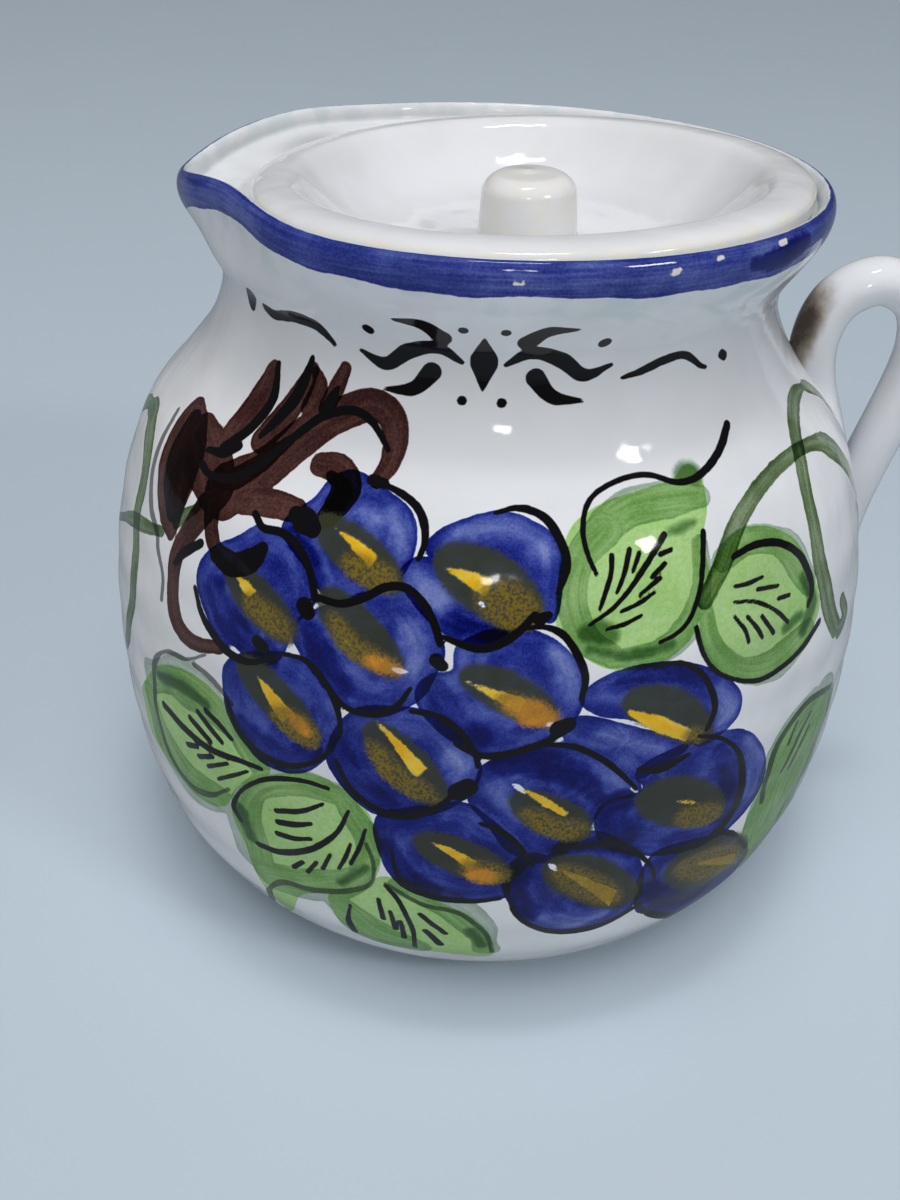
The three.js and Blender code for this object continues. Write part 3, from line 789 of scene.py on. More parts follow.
# Thinner, paler brush lines
FAINT_LINES = (
    (((832, 686), (806, 704), (781, 741), (767, 779), (763, 802)), (0.6, 0.8, 0.8, 0.6)),
    (((812, 712), (798, 740), (782, 772)), (0.4, 0.6, 0.4)),
    (((832, 692), (822, 726), (804, 770), (776, 822)), (0.4, 0.6, 0.6, 0.4)),
    (((810, 726), (800, 746)), (0.4, 0.5)),
    (((798, 722), (790, 744)), (0.4, 0.5)),
    (((797, 752), (790, 768)), (0.4, 0.5)),
    (((205, 655), (185, 660), (165, 652), (155, 660), (153, 680), (158, 720), (170, 755), (190, 785),
      (210, 795), (228, 790)),
     (0.6, 0.7, 0.7, 0.8, 0.7)),
    (((192, 665), (210, 680), (230, 705)), (0.7, 0.8, 0.7)),
    (((365, 845), (373, 865), (370, 885), (345, 892), (310, 890), (285, 883), (270, 888), (272, 900)),
     (0.7, 0.8, 0.8, 0.7)),
    (((385, 885), (420, 905), (460, 915), (485, 935), (492, 953)), (0.6, 0.7, 0.7, 0.7)),
    (((176, 410), (161, 438), (152, 468), (149, 492), (150, 512), (156, 534), (157, 550), (161, 576),
      (160, 600)),
     (0.5, 0.7, 0.7, 0.6, 0.5)),
)

# Dots and wavy strokes on the neck, at both ends of the brush ornament
NECK_LINES = (
    (((251, 294), (251, 304)), (1.0, 1.0)),
    (((265, 308), (275, 315), (295, 317), (315, 325), (328, 337), (334, 345)), (0.8, 1.5, 1.5, 1.4, 0.7)),
    (((622, 378), (640, 372), (665, 360), (685, 355), (700, 365), (706, 367)), (0.7, 1.4, 1.5, 1.4, 0.8)),
    (((722, 354), (725, 356)), (1.7, 1.6)),
)

# Brush ornament on the neck: half of it, in millimetres right and up of its middle
ORNAMENT_MIDDLE = (484, 362)
ORNAMENT_LOZENGE = (((0, -4.6), (0, 0), (0, 4.6)), (0.5, 4.6, 0.5))
ORNAMENT_HALF = (
    (((3.4, -0.4), (7.5, 2.0), (12, 0.6), (16, -2.2), (20.5, -0.8)), (0.8, 2.6, 2.8, 2.2, 0.7)),
    (((6.4, 4.2), (9.2, 6.8), (13.6, 7.2)), (3.2, 2.3, 0.6)),
    (((8.2, -2.4), (11, -5.4), (15.8, -6.2)), (3.2, 2.2, 0.6)),
    (((18.2, 3.6), (18.5, 3.8)), (1.9, 1.9)),
    (((3.0, 6.4), (3.2, 6.4)), (1.5, 1.5)),
    (((3.0, -6.4), (3.2, -6.4)), (1.5, 1.5)),
)

# The rim's blue band: height of its lower edge, how that changes near the lip, and its unsteady waves
BAND_LOW = 142.5
BAND_LIFT = 1.4
BAND_LIFT_ANGLE = math.radians(-40)
BAND_LIFT_SPREAD = math.radians(18)
BAND_DIP = 2.6
BAND_DIP_SPREAD = math.radians(13)
BAND_WAVES = ((0.35, 5, 1), (0.21, 13, 0), (0.14, 29, 0))

# Small chips in the band's glaze, and a darker lap where the brush came round again
CHIPS = (
    (((516, 283), (522, 283)), (0.9, 0.8)),
    (((672, 272), (680, 271)), (1.2, 0.8)),
    (((718, 258), (722, 257)), (0.8, 0.6)),
    (((780, 243), (786, 241)), (1.0, 0.7)),
)
BAND_LAP = (((754, 264), (768, 262), (786, 255), (808, 240)), (1.8, 2.8, 2.4, 1.4))


def cubic(start, leave, arrive, end, steps):
    """Points along a cubic curve."""
    share = np.linspace(0, 1, steps + 1)[:, None]
    rest = 1 - share
    start, leave, arrive, end = (np.array(spot, float) for spot in (start, leave, arrive, end))
    outer = rest**3 * start + share**3 * end
    return outer + 3 * rest**2 * share * leave + 3 * rest * share**2 * arrive


def ease(low, high, value):
    """A smooth step from 0 at low to 1 at high."""
    share = np.clip((value - low) / (high - low), 0, 1)
    return share * share * (3 - 2 * share)


def bump(offset, spread):
    """A bell curve, 1 in its middle."""
    return np.exp(-0.5 * (offset / spread) ** 2)


def wall_curve(inset, steps):
    """The wall from the base edge to the widest part of the rim, moved inwards by inset."""
    tangent = np.array((-math.cos(SHOULDER_SLOPE), math.sin(SHOULDER_SLOPE)))
    normal = np.array((tangent[1], -tangent[0]))
    flare_rise = RIM_RISE - LIP_WALL
    base = (BASE_RADIUS - inset, inset)
    belly = (BELLY_RADIUS - inset, BELLY_HEIGHT)
    shoulder = np.array((SHOULDER_RADIUS, shoulder_height)) - inset * normal
    neck = (NECK_RADIUS - inset, neck_height)
    rim = (RIM_RADIUS - inset, neck_height + flare_rise)
    leave_base = (base[0] + BASE_SPREAD * (belly[0] - base[0]), base[1] + BASE_LIFT * BELLY_HEIGHT)
    under_belly = (belly[0], belly[1] - BELLY_FULLNESS_BELOW * BELLY_HEIGHT)
    over_belly = (belly[0], belly[1] + BELLY_FULLNESS_ABOVE * (shoulder[1] - belly[1]))
    out_shoulder = shoulder - SHOULDER_EASE_BELOW * NECK_RISE * tangent
    in_shoulder = shoulder + SHOULDER_EASE_ABOVE * NECK_RISE * tangent
    under_neck = (neck[0], neck[1] - NECK_FULLNESS * NECK_RISE)
    over_neck = (neck[0], neck[1] + NECK_FULLNESS * flare_rise)
    under_rim = (rim[0], rim[1] - RIM_FULLNESS * flare_rise)
    lower = cubic(base, leave_base, under_belly, belly, steps)
    upper = cubic(belly, over_belly, out_shoulder, shoulder, steps)
    throat = cubic(shoulder, in_shoulder, under_neck, neck, steps)
    flare = cubic(neck, over_neck, under_rim, rim, steps)
    return np.vstack((lower, upper[1:], throat[1:], flare[1:]))


def lengths(line):
    """Distance along a line at each of its points."""
    spans = np.linalg.norm(np.diff(line, axis=0), axis=1)
    return np.concatenate(((0.0,), np.cumsum(spans)))


def spaced(line, count):
    """The same line with count points at even distances along it."""
    along = lengths(line)
    even = np.linspace(0, along[-1], count)
    return np.stack([np.interp(even, along, column) for column in line.T], axis=1)


def resampled(line, step):
    """The same line with points about step apart."""
    return spaced(line, max(2, int(round(lengths(line)[-1] / step)) + 1))


def sideways(line):
    """Steps of length 1 square to a line, at each of its points."""
    ahead = np.gradient(line, axis=0)
    ahead /= np.linalg.norm(ahead, axis=1, keepdims=True)
    return np.stack((-ahead[:, 1], ahead[:, 0]), axis=1)


def rim_curve(turn):
    """The rim's rounding: turn 0 is its outside, and a half turn its inside."""
    half = LIP_WALL / 2
    across = RIM_RADIUS - half + half * np.cos(turn)
    return np.stack((across, rim_height - LIP_WALL + LIP_WALL * np.sin(turn)), axis=1)


WALL_LINE = wall_curve(0, CURVE_STEPS)
OUTSIDE = np.vstack((WALL_LINE, rim_curve(np.linspace(0, math.pi / 2, RIM_STEPS))[1:]))
OUTSIDE_ARC = lengths(OUTSIDE)


def outer_radius(height):
    """The outside's radius at a height."""
    return np.interp(height, OUTSIDE[:, 1], OUTSIDE[:, 0])


def arc_at(height):
    """Distance up the outside of the wall at a height."""
    return np.interp(height, OUTSIDE[:, 1], OUTSIDE_ARC)


def radius_at(arc):
    """The outside's radius at a distance up the wall."""
    return np.interp(arc, OUTSIDE_ARC, OUTSIDE[:, 0])


def ledge_height(radius):
    """Height of the sloping ledge inside the rim."""
    return rim_height - LEDGE_DEPTH + (radius - ledge_outer) * math.tan(LEDGE_SLOPE)


def shape_lip(points):
    """Moves the rim's points outwards and upwards to pinch the pouring lip."""
    radius = np.hypot(points[:, 0], points[:, 1])
    near = ease(ledge_outer - LIP_WIDTH, ledge_outer - LIP_EDGE, radius)
    share = near * ease(rim_height - LIP_HEIGHT, rim_height - LIP_FULL_HEIGHT, points[:, 2])
    angle = np.arctan2(points[:, 1], -points[:, 0])
    pinch = bump(np.abs(angle) - PINCH_ANGLE, PINCH_SPREAD)
    tip = bump(angle, TIP_SPREAD)
    outward = share * (TIP_REACH * tip - PINCH_DEPTH * pinch)
    shaped = points.copy()
    shaped[:, :2] *= (1 + outward / np.maximum(radius, 1))[:, None]
    shaped[:, 2] += share * (PINCH_RISE * pinch - TIP_DROOP * tip)
    return shaped


def throw_marks(points):
    """Lets the wall dip a little where the potter's fingers passed, never outwards."""
    angle = front_angle(points)
    height = points[:, 2]
    radius = np.hypot(points[:, 0], points[:, 1])
    rings = THROW_DEPTH * (1 + np.sin(THROW_PITCH * height + THROW_SLANT * np.sin(angle)))
    sway = SWAY_DEPTH * (1 + np.sin(SWAY_LOBES * angle + SWAY_TWIST * height))
    faded = ease(rim_height - THROW_FADE[0], rim_height - THROW_FADE[1], height)
    share = ease(*THROW_RADII, radius) * (1 - faded)
    marked = points.copy()
    marked[:, :2] *= (1 - share * (rings + sway) / np.maximum(radius, 1))[:, None]
    return marked


def front_angle(points):
    """Angle of points round Z, from the front to the right."""
    return np.arctan2(points[:, 0], -points[:, 1])


def camera_axes():
    """Right, up and forward of the photograph's camera."""
    heading = np.array((math.sin(CAMERA_YAW), math.cos(CAMERA_YAW), 0))
    forward = math.cos(CAMERA_PITCH) * heading - (0, 0, math.sin(CAMERA_PITCH))
    side = np.array((math.cos(CAMERA_YAW), -math.sin(CAMERA_YAW), 0))
    upright = np.cross(side, forward)
    right = math.cos(CAMERA_ROLL) * side + math.sin(CAMERA_ROLL) * upright
    up = math.cos(CAMERA_ROLL) * upright - math.sin(CAMERA_ROLL) * side
    return right, up, forward


def on_wall(pixels):
    """Where the photograph's pixels lie on the wall: angle from the front, and distance up the wall."""
    right, up, forward = camera_axes()
    pixels = np.array(pixels, float)
    across = (pixels[:, 0] - PHOTO_SIZE[0] / 2) / PHOTO_FOCAL
    down = (pixels[:, 1] - PHOTO_SIZE[1] / 2) / PHOTO_FOCAL
    rays = forward + across[:, None] * right - down[:, None] * up
    rays /= np.linalg.norm(rays, axis=1, keepdims=True)
    reach = np.linspace(RAY_NEAR, RAY_FAR, RAY_STEPS)
    spots = CAMERA_PLACE + reach[None, :, None] * rays[:, None, :]
    gap = np.hypot(spots[..., 0], spots[..., 1]) - outer_radius(spots[..., 2])
    gap = np.where((spots[..., 2] > 0) & (spots[..., 2] < rim_height), gap, FAR)
    inside = gap < 0
    first = np.where(inside.any(axis=1), inside.argmax(axis=1), gap.argmin(axis=1))
    met = spots[np.arange(len(pixels)), first]
    return np.stack((front_angle(met), arc_at(met[:, 2])), axis=1)


def brushed(points, closed=False):
    """A smooth line through a few points."""
    points = np.array(points, float)
    if closed:
        ring = np.vstack((points[-1], points, points[:2]))
    else:
        ring = np.vstack((2 * points[0] - points[1], points, 2 * points[-1] - points[-2]))
    spans = []
    for before, here, there, after in zip(ring[:-3], ring[1:-2], ring[2:-1], ring[3:]):
        leave = here + (there - before) / 6
        arrive = there - (after - here) / 6
        spans.append(cubic(here, leave, arrive, there, BRUSH_STEPS)[:-1])
    spans.append(ring[-2][None, :])
    return np.vstack(spans)


def oval(width):
    """Widths of a stroke that swells to an oval."""
    return width * np.sqrt(1 - np.linspace(-OVAL_END, OVAL_END, OVAL_STEPS) ** 2)


def half_widths(widths, count):
    """Half of a stroke's width at count points along it."""
    return np.interp(np.linspace(0, 1, count), np.linspace(0, 1, len(widths)), widths) / 2


def aslant(line):
    """How much wider a stroke is on the wall than the camera sees it, at each pixel of a line."""
    beside = ASLANT_REACH * sideways(line)
    near, far = on_wall(line - beside), on_wall(line + beside)
    across = np.hypot((far[:, 0] - near[:, 0]) * radius_at(near[:, 1]), far[:, 1] - near[:, 1])
    return np.clip(across / (2 * ASLANT_REACH) * PHOTO_SCALE, 1, ASLANT_MOST)


class Canvas:
    """The painted wall: how far each of its points lies outside each kind of mark, in millimetres."""

    def __init__(self, angle, arc, radius):
        self.angle = angle
        self.arc = arc
        self.radius = radius
        self.marks = {}
        self.flow = np.stack((angle * radius, arc, np.zeros_like(arc)), axis=1)
        self.washes = 0

    def add(self, name, spots, edge):
        """Lets a mark take in a shape, given by how far some points lie outside it."""
        field = self.marks.setdefault(name, np.full(self.angle.shape, FAR))
        field[spots] = np.minimum(field[spots], edge)

    def streak(self, spots, edge, *place):
        """Sets where the points of a shape lie in the noise that makes its brush streaks."""
        inside = edge < STREAK_MARGIN
        self.flow[spots[inside]] = np.stack(place, axis=1)[inside]

    def near(self, line, reach):
        """The points that lie within reach of a line's box."""
        turn = reach / NECK_RADIUS
        beside = (self.angle > line[:, 0].min() - turn) & (self.angle < line[:, 0].max() + turn)
        level = (self.arc > line[:, 1].min() - reach) & (self.arc < line[:, 1].max() + reach)
        return np.flatnonzero(beside & level)

    def spans(self, spots, line):
        """For points and each span of a line: distance, share along it, side of it, and its length."""
        radius = self.radius[spots][:, None]
        across = (self.angle[spots][:, None] - line[None, :-1, 0]) * radius
        rise = self.arc[spots][:, None] - line[None, :-1, 1]
        span_across = np.diff(line[:, 0])[None, :] * radius
        span_rise = np.diff(line[:, 1])[None, :]
        square = span_across**2 + span_rise**2 + TINY
        share = np.clip((across * span_across + rise * span_rise) / square, 0, 1)
        distance = np.hypot(across - share * span_across, rise - share * span_rise)
        side = np.sign(span_across * rise - span_rise * across)
        return distance, share, side, np.sqrt(square)

    def draw(self, name, line, widths, wash=False, widen=1.0):
        """Adds a stroke of changing width along a line on the wall."""
        half = half_widths(widths, len(line)) * widen
        spots = self.near(line, half.max() + MARK_MARGIN)
        if len(spots) == 0:
            return
        distance, share, side, span = self.spans(spots, line)
        edges = distance - (half[None, :-1] + share * np.diff(half)[None, :])
        best = (np.arange(len(spots)), edges.argmin(axis=1))
        self.add(name, spots, edges[best])
        if wash:
            self.washes += 1
            along = np.cumsum(span, axis=1)[best] + (share[best] - 1) * span[best]
            across = distance[best] * side[best] + STREAK_APART * self.washes
            self.streak(spots, edges[best], across, STREAK_STRETCH * along, np.zeros_like(along))

    def stroke(self, name, pixels, widths, wash=False):
        """Adds a stroke through a few of the photograph's pixels."""
        line = resampled(brushed(pixels), LINE_STEP)
        self.draw(name, on_wall(line), widths, wash, aslant(line))

    def strokes(self, name, table, wash=False, weight=1.0):
        """Adds all the strokes of a table."""
        for pixels, widths in table:
            self.stroke(name, pixels, weight * np.array(widths), wash)

    def encloses(self, ring, spots):
        """Tells which points lie in a ring: a level line from them meets it an odd number of times."""
        arc = self.arc[spots][:, None]
        above = ring[None, :, 1] > arc
        crossing = above[:, :-1] != above[:, 1:]
        rise = np.diff(ring[:, 1])[None, :]
        part = (arc - ring[None, :-1, 1]) / np.where(np.abs(rise) < TINY, TINY, rise)
        cut = ring[None, :-1, 0] + part * np.diff(ring[:, 0])[None, :]
        return (crossing & (cut > self.angle[spots][:, None])).sum(axis=1) % 2 == 1

    def patch(self, name, pixels, swell=0.0):
        """Adds a closed shape, given by its outline, and returns the points near it and its middle."""
        outline = on_wall(pixels)
        ring = np.vstack((outline, outline[:1]))
        spots = self.near(ring, MARK_MARGIN)
        distance = self.spans(spots, ring)[0].min(axis=1)
        edge = np.where(self.encloses(ring, spots), -distance, distance) - swell
        self.add(name, spots, edge)
        return spots, edge, outline.mean(axis=0)

    def shape(self, name, outline, swell=0.0):
        """Adds a closed shape with a smooth outline through a few of the photograph's pixels."""
        return self.patch(name, resampled(brushed(outline, closed=True), LINE_STEP), swell)

    def grape(self, name, outline, order):
        """Adds a grape, a wash whose brush streaks run round it."""
        spots, edge, centre = self.shape(name, outline, GRAPE_SWELL)
        aside = (self.angle[spots] - centre[0]) * self.radius[spots]
        turn = np.arctan2(self.arc[spots] - centre[1], aside)
        self.streak(spots, edge, GRAPE_STREAK * edge + STREAK_APART * order, np.cos(turn), np.sin(turn))

    def ribbon(self, name, pixels, widths):
        """Adds a stroke with square ends, one of which can be a point."""
        line = resampled(brushed(pixels), LINE_STEP)
        beside = PHOTO_SCALE * half_widths(widths, len(line))[:, None] * sideways(line)
        self.patch(name, np.vstack((line + beside, (line - beside)[::-1])))


def paint_grapes(canvas):
    """The bunch: blue, olive middle, bare wedge and flecks of each grape, then strokes over them."""
    for order, grape in enumerate(GRAPES):
        canvas.grape(f"blue_{grape.layer}", grape.outline, order + 1)
        canvas.stroke("olive", grape.olive, oval(grape.fullness))
        canvas.ribbon("wedge", grape.wedge, grape.wedge_widths)
        canvas.stroke("flecks", grape.flecks, oval(grape.fleck_width))
    canvas.grape(f"blue_{GRAPE_TAIL_LAYER}", GRAPE_TAIL, len(GRAPES) + 1)
    canvas.strokes("deep_blue", DEEP_BLUE)
    canvas.strokes("thin_blue_and_highlight", THIN_BLUE_AND_HIGHLIGHT)
    canvas.strokes("orange", ORANGE)
    canvas.strokes("sliver", SLIVERS)


def paint_leaves(canvas):
    """Pale leaves, darker strokes over them and the darkest dabs."""
    for outline in LEAVES:
        canvas.shape("leaf", outline)
    canvas.strokes("leaf_dark", LEAF_STROKES, wash=True)
    canvas.strokes("leaf_dab", LEAF_DABS)


def paint_vine(canvas):
    """Tendrils and stem."""
    for number, table in enumerate(TENDRILS):
        canvas.strokes(f"vine_{number}", table, wash=True)
    for number, table in enumerate(STEM):
        canvas.strokes(f"stem_{number}", table, wash=True)


def paint_lines(canvas):
    """Black brush lines over the washes."""
    for table in (STEM_LINES, NECK_LINES):
        canvas.strokes("ink", table)
    for table in (GRAPE_LINES, LEAF_LINES):
        canvas.strokes("ink", table, weight=LINE_WEIGHT)
    canvas.strokes("faint_ink", FAINT_LINES)


def paint_ornament(canvas):
    """The mirrored brush ornament on the neck."""
    middle = on_wall([ORNAMENT_MIDDLE])[0]
    radius = radius_at(middle[1])
    for points, widths in (ORNAMENT_LOZENGE,) + ORNAMENT_HALF:
        line = resampled(brushed(points), ORNAMENT_STEP)
        for mirror in (1, -1):
            spots = np.stack((middle[0] + mirror * line[:, 0] / radius, middle[1] + line[:, 1]), axis=1)
            canvas.draw("ink", spots, widths)


def paint_band(canvas, crest_arc):
    """The blue band from the rim's crest down its outside."""
    angle = canvas.angle
    low = BAND_LOW + BAND_LIFT * bump(angle - BAND_LIFT_ANGLE, BAND_LIFT_SPREAD)
    low -= BAND_DIP * bump(angle - LIP_ANGLE, BAND_DIP_SPREAD)
    for height, count, phase in BAND_WAVES:
        low += height * np.sin(count * angle + phase)
    edge = np.maximum(arc_at(low) - canvas.arc, canvas.arc - crest_arc)
    everywhere = np.arange(len(angle))
    canvas.add("band", everywhere, edge)
    along = STREAK_STRETCH * RIM_RADIUS * angle
    canvas.streak(everywhere, edge, BAND_STREAK * canvas.arc, along, np.zeros_like(angle))
    canvas.strokes("chip", CHIPS)
    canvas.strokes("lap", (BAND_LAP,))


# Numbers of the rings of points where the body's wall, its rim and its inside start
Rows = namedtuple("Rows", "wall rim inside")


def inside_section():
    """The body's inside, from the ledge in its mouth to the middle of its floor."""
    nose = np.array((ledge_radius, ledge_height(ledge_radius)))
    ledge_end = nose + (LEDGE_NOSE, LEDGE_NOSE / 2)
    ledge = np.linspace((ledge_outer, ledge_height(ledge_outer)), ledge_end, LEDGE_POINTS)
    rounding = cubic(ledge_end, nose, nose, nose - (0, LEDGE_NOSE), ROUND_STEPS)
    under = nose - (0, LEDGE_THICKNESS)
    inner = wall_curve(WALL, INNER_STEPS)
    free = (inner[:, 1] > FLOOR + INNER_MARGIN) & (inner[:, 1] < under[1] - INNER_MARGIN)
    wall = inner[free][::-1]
    ceiling = cubic(under, under + (LEDGE_COVE, 0), wall[0] + (0, LEDGE_COVE), wall[0], COVE_STEPS)
    corner = (wall[-1][0] - FLOOR_CORNER, FLOOR)
    flat = (wall[-1][0] - FLOOR_COVE, FLOOR)
    cove = cubic(wall[-1], corner, corner, flat, COVE_STEPS)
    floor = np.linspace(flat, (0, FLOOR), FLOOR_POINTS)
    return np.vstack((ledge[1:], rounding[1:], ceiling, wall[1:], cove[1:], floor[1:]))


def body_section():
    """The body's closed section from the base's middle to the floor's middle, and its rows."""
    ring_radius = BASE_RADIUS - FOOT_RING
    foot = np.array(((0, FOOT_RECESS), (ring_radius - FOOT_CHAMFER, FOOT_RECESS), (ring_radius, 0)))
    wall = resampled(WALL_LINE[lengths(WALL_LINE) > FOOT_ROUNDING], PAINT_GRAIN)
    corner = (BASE_RADIUS, 0)
    rounding = cubic((BASE_RADIUS - FOOT_ROUNDING, 0), corner, corner, wall[0], ROUND_STEPS)
    rim = rim_curve(np.linspace(0, math.pi, RIM_STEPS + 1))
    outside = (foot, rounding, wall[1:], rim[1:])
    counts = np.cumsum([len(part) for part in outside])
    rows = Rows(wall=counts[1] - 2, rim=counts[2] - 1, inside=counts[3] - 1)
    return np.vstack(outside + (inside_section(),)), rows


def column_angles():
    """Angles from the front, fine on the painted side and coarser behind, and how many spans are fine."""
    fine = int(round(2 * FRONT_SPAN * BELLY_RADIUS / PAINT_GRAIN))
    front = np.linspace(-FRONT_SPAN, FRONT_SPAN, fine + 1)
    coarse = int(round((2 * math.pi - 2 * FRONT_SPAN) / BACK_STEP))
    back = np.linspace(FRONT_SPAN, 2 * math.pi - FRONT_SPAN, coarse + 1)[1:-1]
    return np.concatenate((front, back)), fine


def even_angles(columns):
    """Angles at even steps round a full turn."""
    return np.linspace(0, 2 * math.pi, columns, endpoint=False)


def turned_points(section, angles):
    """Points of a section turned about Z, ring by ring, without the two ends on the axis."""
    rings = section[1:-1]
    across = rings[:, 0][:, None] * np.sin(angles)[None, :]
    depth = -rings[:, 0][:, None] * np.cos(angles)[None, :]
    height = np.repeat(rings[:, 1][:, None], len(angles), axis=1)
    return np.stack((across, depth, height), axis=2).reshape(-1, 3)


def axis_ends(section):
    """The two ends of a section, which lie on the axis."""
    return np.array(((0, 0, section[0][1]), (0, 0, section[-1][1])))


def ring_mesh(name, points, columns, ends):
    """A closed mesh of rings of points, with a fan to a point at each end."""
    here = np.arange(columns)
    there = (here + 1) % columns
    top = len(points) - columns
    low = np.arange(0, top, columns)[:, None]
    corners = (low + here, low + there, low + columns + there, low + columns + here)
    quads = np.stack(corners, axis=2).reshape(-1, len(corners))
    first = np.full(columns, len(points))
    lower_fan = np.stack((first, there, here), axis=1)
    upper_fan = np.stack((top + here, top + there, first + 1), axis=1)
    return build_mesh(name, np.vstack((points, ends)), quads, np.vstack((lower_fan, upper_fan)))


def build_mesh(name, points, quads, triangles):
    """A smooth mesh object from points in millimetres."""
    mesh = bpy.data.meshes.new(name)
    mesh.vertices.add(len(points))
    mesh.vertices.foreach_set("co", (points * MM).astype(np.float32).ravel())
    corners = np.concatenate((quads.ravel(), triangles.ravel())).astype(np.int32)
    sizes = np.concatenate((np.full(len(quads), 4), np.full(len(triangles), 3)))
    starts = np.concatenate(((0,), np.cumsum(sizes)[:-1])).astype(np.int32)
    mesh.loops.add(len(corners))
    mesh.loops.foreach_set("vertex_index", corners)
    mesh.polygons.add(len(sizes))
    mesh.polygons.foreach_set("loop_start", starts)
    mesh.polygons.foreach_set("use_smooth", np.ones(len(sizes), bool))
    mesh.update(calc_edges=True)
    mesh.validate()
    piece = bpy.data.objects.new(name, mesh)
    bpy.context.scene.collection.objects.link(piece)
    return piece


def store(piece, name, values):
    """Keeps one number or one vector for each point of a mesh."""
    values = np.asarray(values, np.float32)
    kind, field = ("FLOAT", "value") if values.ndim == 1 else ("FLOAT_VECTOR", "vector")
    layer = piece.data.attributes.new(name, kind, "POINT")
    layer.data.foreach_set(field, values.ravel())


class Graph:
    """Nodes of a material or a world, made by short calls that hand back sockets."""

    def __init__(self, owner):
        owner.use_nodes = True
        self.owner = owner
        self.tree = owner.node_tree

    def node(self, kind, inputs, **settings):
        """Adds a node, with its inputs by name or number."""
        made = self.tree.nodes.new(kind)
        for key, value in settings.items():
            setattr(made, key, value)
        for key, value in inputs.items():
            self.feed(made.inputs[key], value)
        return made

    def feed(self, socket, value):
        """Links another node's socket to an input, or sets the input's own value."""
        if isinstance(value, bpy.types.NodeSocket):
            self.tree.links.new(value, socket)
        else:
            socket.default_value = value

    def math(self, operation, *values):
        """Numbers added, multiplied or put to another operation."""
        inputs = dict(enumerate(values))
        return self.node("ShaderNodeMath", inputs, operation=operation).outputs[0]

    def product(self, *factors):
        """All the factors multiplied."""
        result = factors[0]
        for factor in factors[1:]:
            result = self.math("MULTIPLY", result, factor)
        return result

    def ramp(self, value, low, high, least=0.0, most=1.0):
        """A smooth step from least at low to most at high."""
        inputs = {"Value": value, "From Min": low, "From Max": high, "To Min": least, "To Max": most}
        return self.node("ShaderNodeMapRange", inputs, interpolation_type="SMOOTHSTEP").outputs[0]

    def scaled(self, vector, amount):
        """A vector times a number."""
        inputs = {0: vector, "Scale": amount}
        return self.node("ShaderNodeVectorMath", inputs, operation="SCALE").outputs[0]

    def mixed(self, share, first, second):
        """A colour that runs from first to second as share runs from 0 to 1."""
        inputs = {MIX_SHARE: share, MIX_FIRST: self.opaque(first), MIX_SECOND: self.opaque(second)}
        return self.node("ShaderNodeMix", inputs, data_type="RGBA").outputs[MIX_RESULT]

    def opaque(self, colour):
        """A colour with its alpha, as a mix takes it."""
        return colour if isinstance(colour, bpy.types.NodeSocket) else (*colour, 1.0)

    def number(self, name):
        """A number that the mesh keeps for each point."""
        return self.node("ShaderNodeAttribute", {}, attribute_name=name).outputs["Fac"]


class Surface(Graph):
    """A material with patterns over the jug's millimetres."""

    def __init__(self, name):
        super().__init__(bpy.data.materials.new(name))
        self.shader = self.tree.nodes["Principled BSDF"]
        spot = self.node("ShaderNodeTexCoord", {}).outputs["Object"]
        self.place = self.scaled(spot, 1 / MM)

    def noise(self, pattern, place=None):
        """Noise over the jug's millimetres, or over another vector."""
        inputs = {
            "Vector": self.place if place is None else place,
            "Scale": pattern.frequency,
            "Detail": pattern.detail,
            "Roughness": pattern.roughness,
        }
        return self.node("ShaderNodeTexNoise", inputs).outputs["Fac"]

    def specks(self):
        """Sparse round specks in the glaze, 1 in their middle."""
        inputs = {"Vector": self.place, "Scale": 1 / SPECK_SPACING, "Randomness": 1.0}
        cells = self.node("ShaderNodeTexVoronoi", inputs)
        shade = self.node("ShaderNodeSeparateColor", {0: cells.outputs["Color"]})
        chosen = self.math("GREATER_THAN", shade.outputs[0], SPECK_CHOICE)
        size = self.math("MULTIPLY", shade.outputs[1], SPECK_SIZE / SPECK_SPACING)
        outside = self.math("SUBTRACT", cells.outputs["Distance"], size)
        return self.product(chosen, self.ramp(outside, SPECK_SOFTNESS, -SPECK_SOFTNESS))

    def white(self):
        """White tin glaze with soft clouds and a few dark specks."""
        base = self.mixed(self.ramp(self.noise(MILK), *MILK_RAMP), GLAZE_WHITE, GLAZE_SHADE)
        return self.mixed(self.product(self.specks(), SPECK_COVER), base, SPECK_AND_SHADE_BROWN)

    def glaze(self, base):
        """The glossy coat: faint waves in the surface and a slightly uneven gloss."""
        height = self.math("MULTIPLY_ADD", self.noise(PEEL), PEEL_SHARE, self.noise(WAVES))
        inputs = {"Strength": 1.0, "Distance": GLAZE_RIPPLE * MM, "Height": height}
        self.feed(self.shader.inputs["Base Color"], base)
        self.feed(self.shader.inputs["Normal"], self.node("ShaderNodeBump", inputs).outputs["Normal"])
        self.feed(self.shader.inputs["Roughness"], self.ramp(self.noise(GLOSS), *GLOSS_RAMP))
        self.feed(self.shader.inputs["IOR"], GLAZE_IOR)
        return self.owner


def absorbance(colour):
    """How strongly a wash of a colour absorbs the light of the white glaze."""
    return tuple(-math.log(tone / white) for tone, white in zip(colour, GLAZE_WHITE))


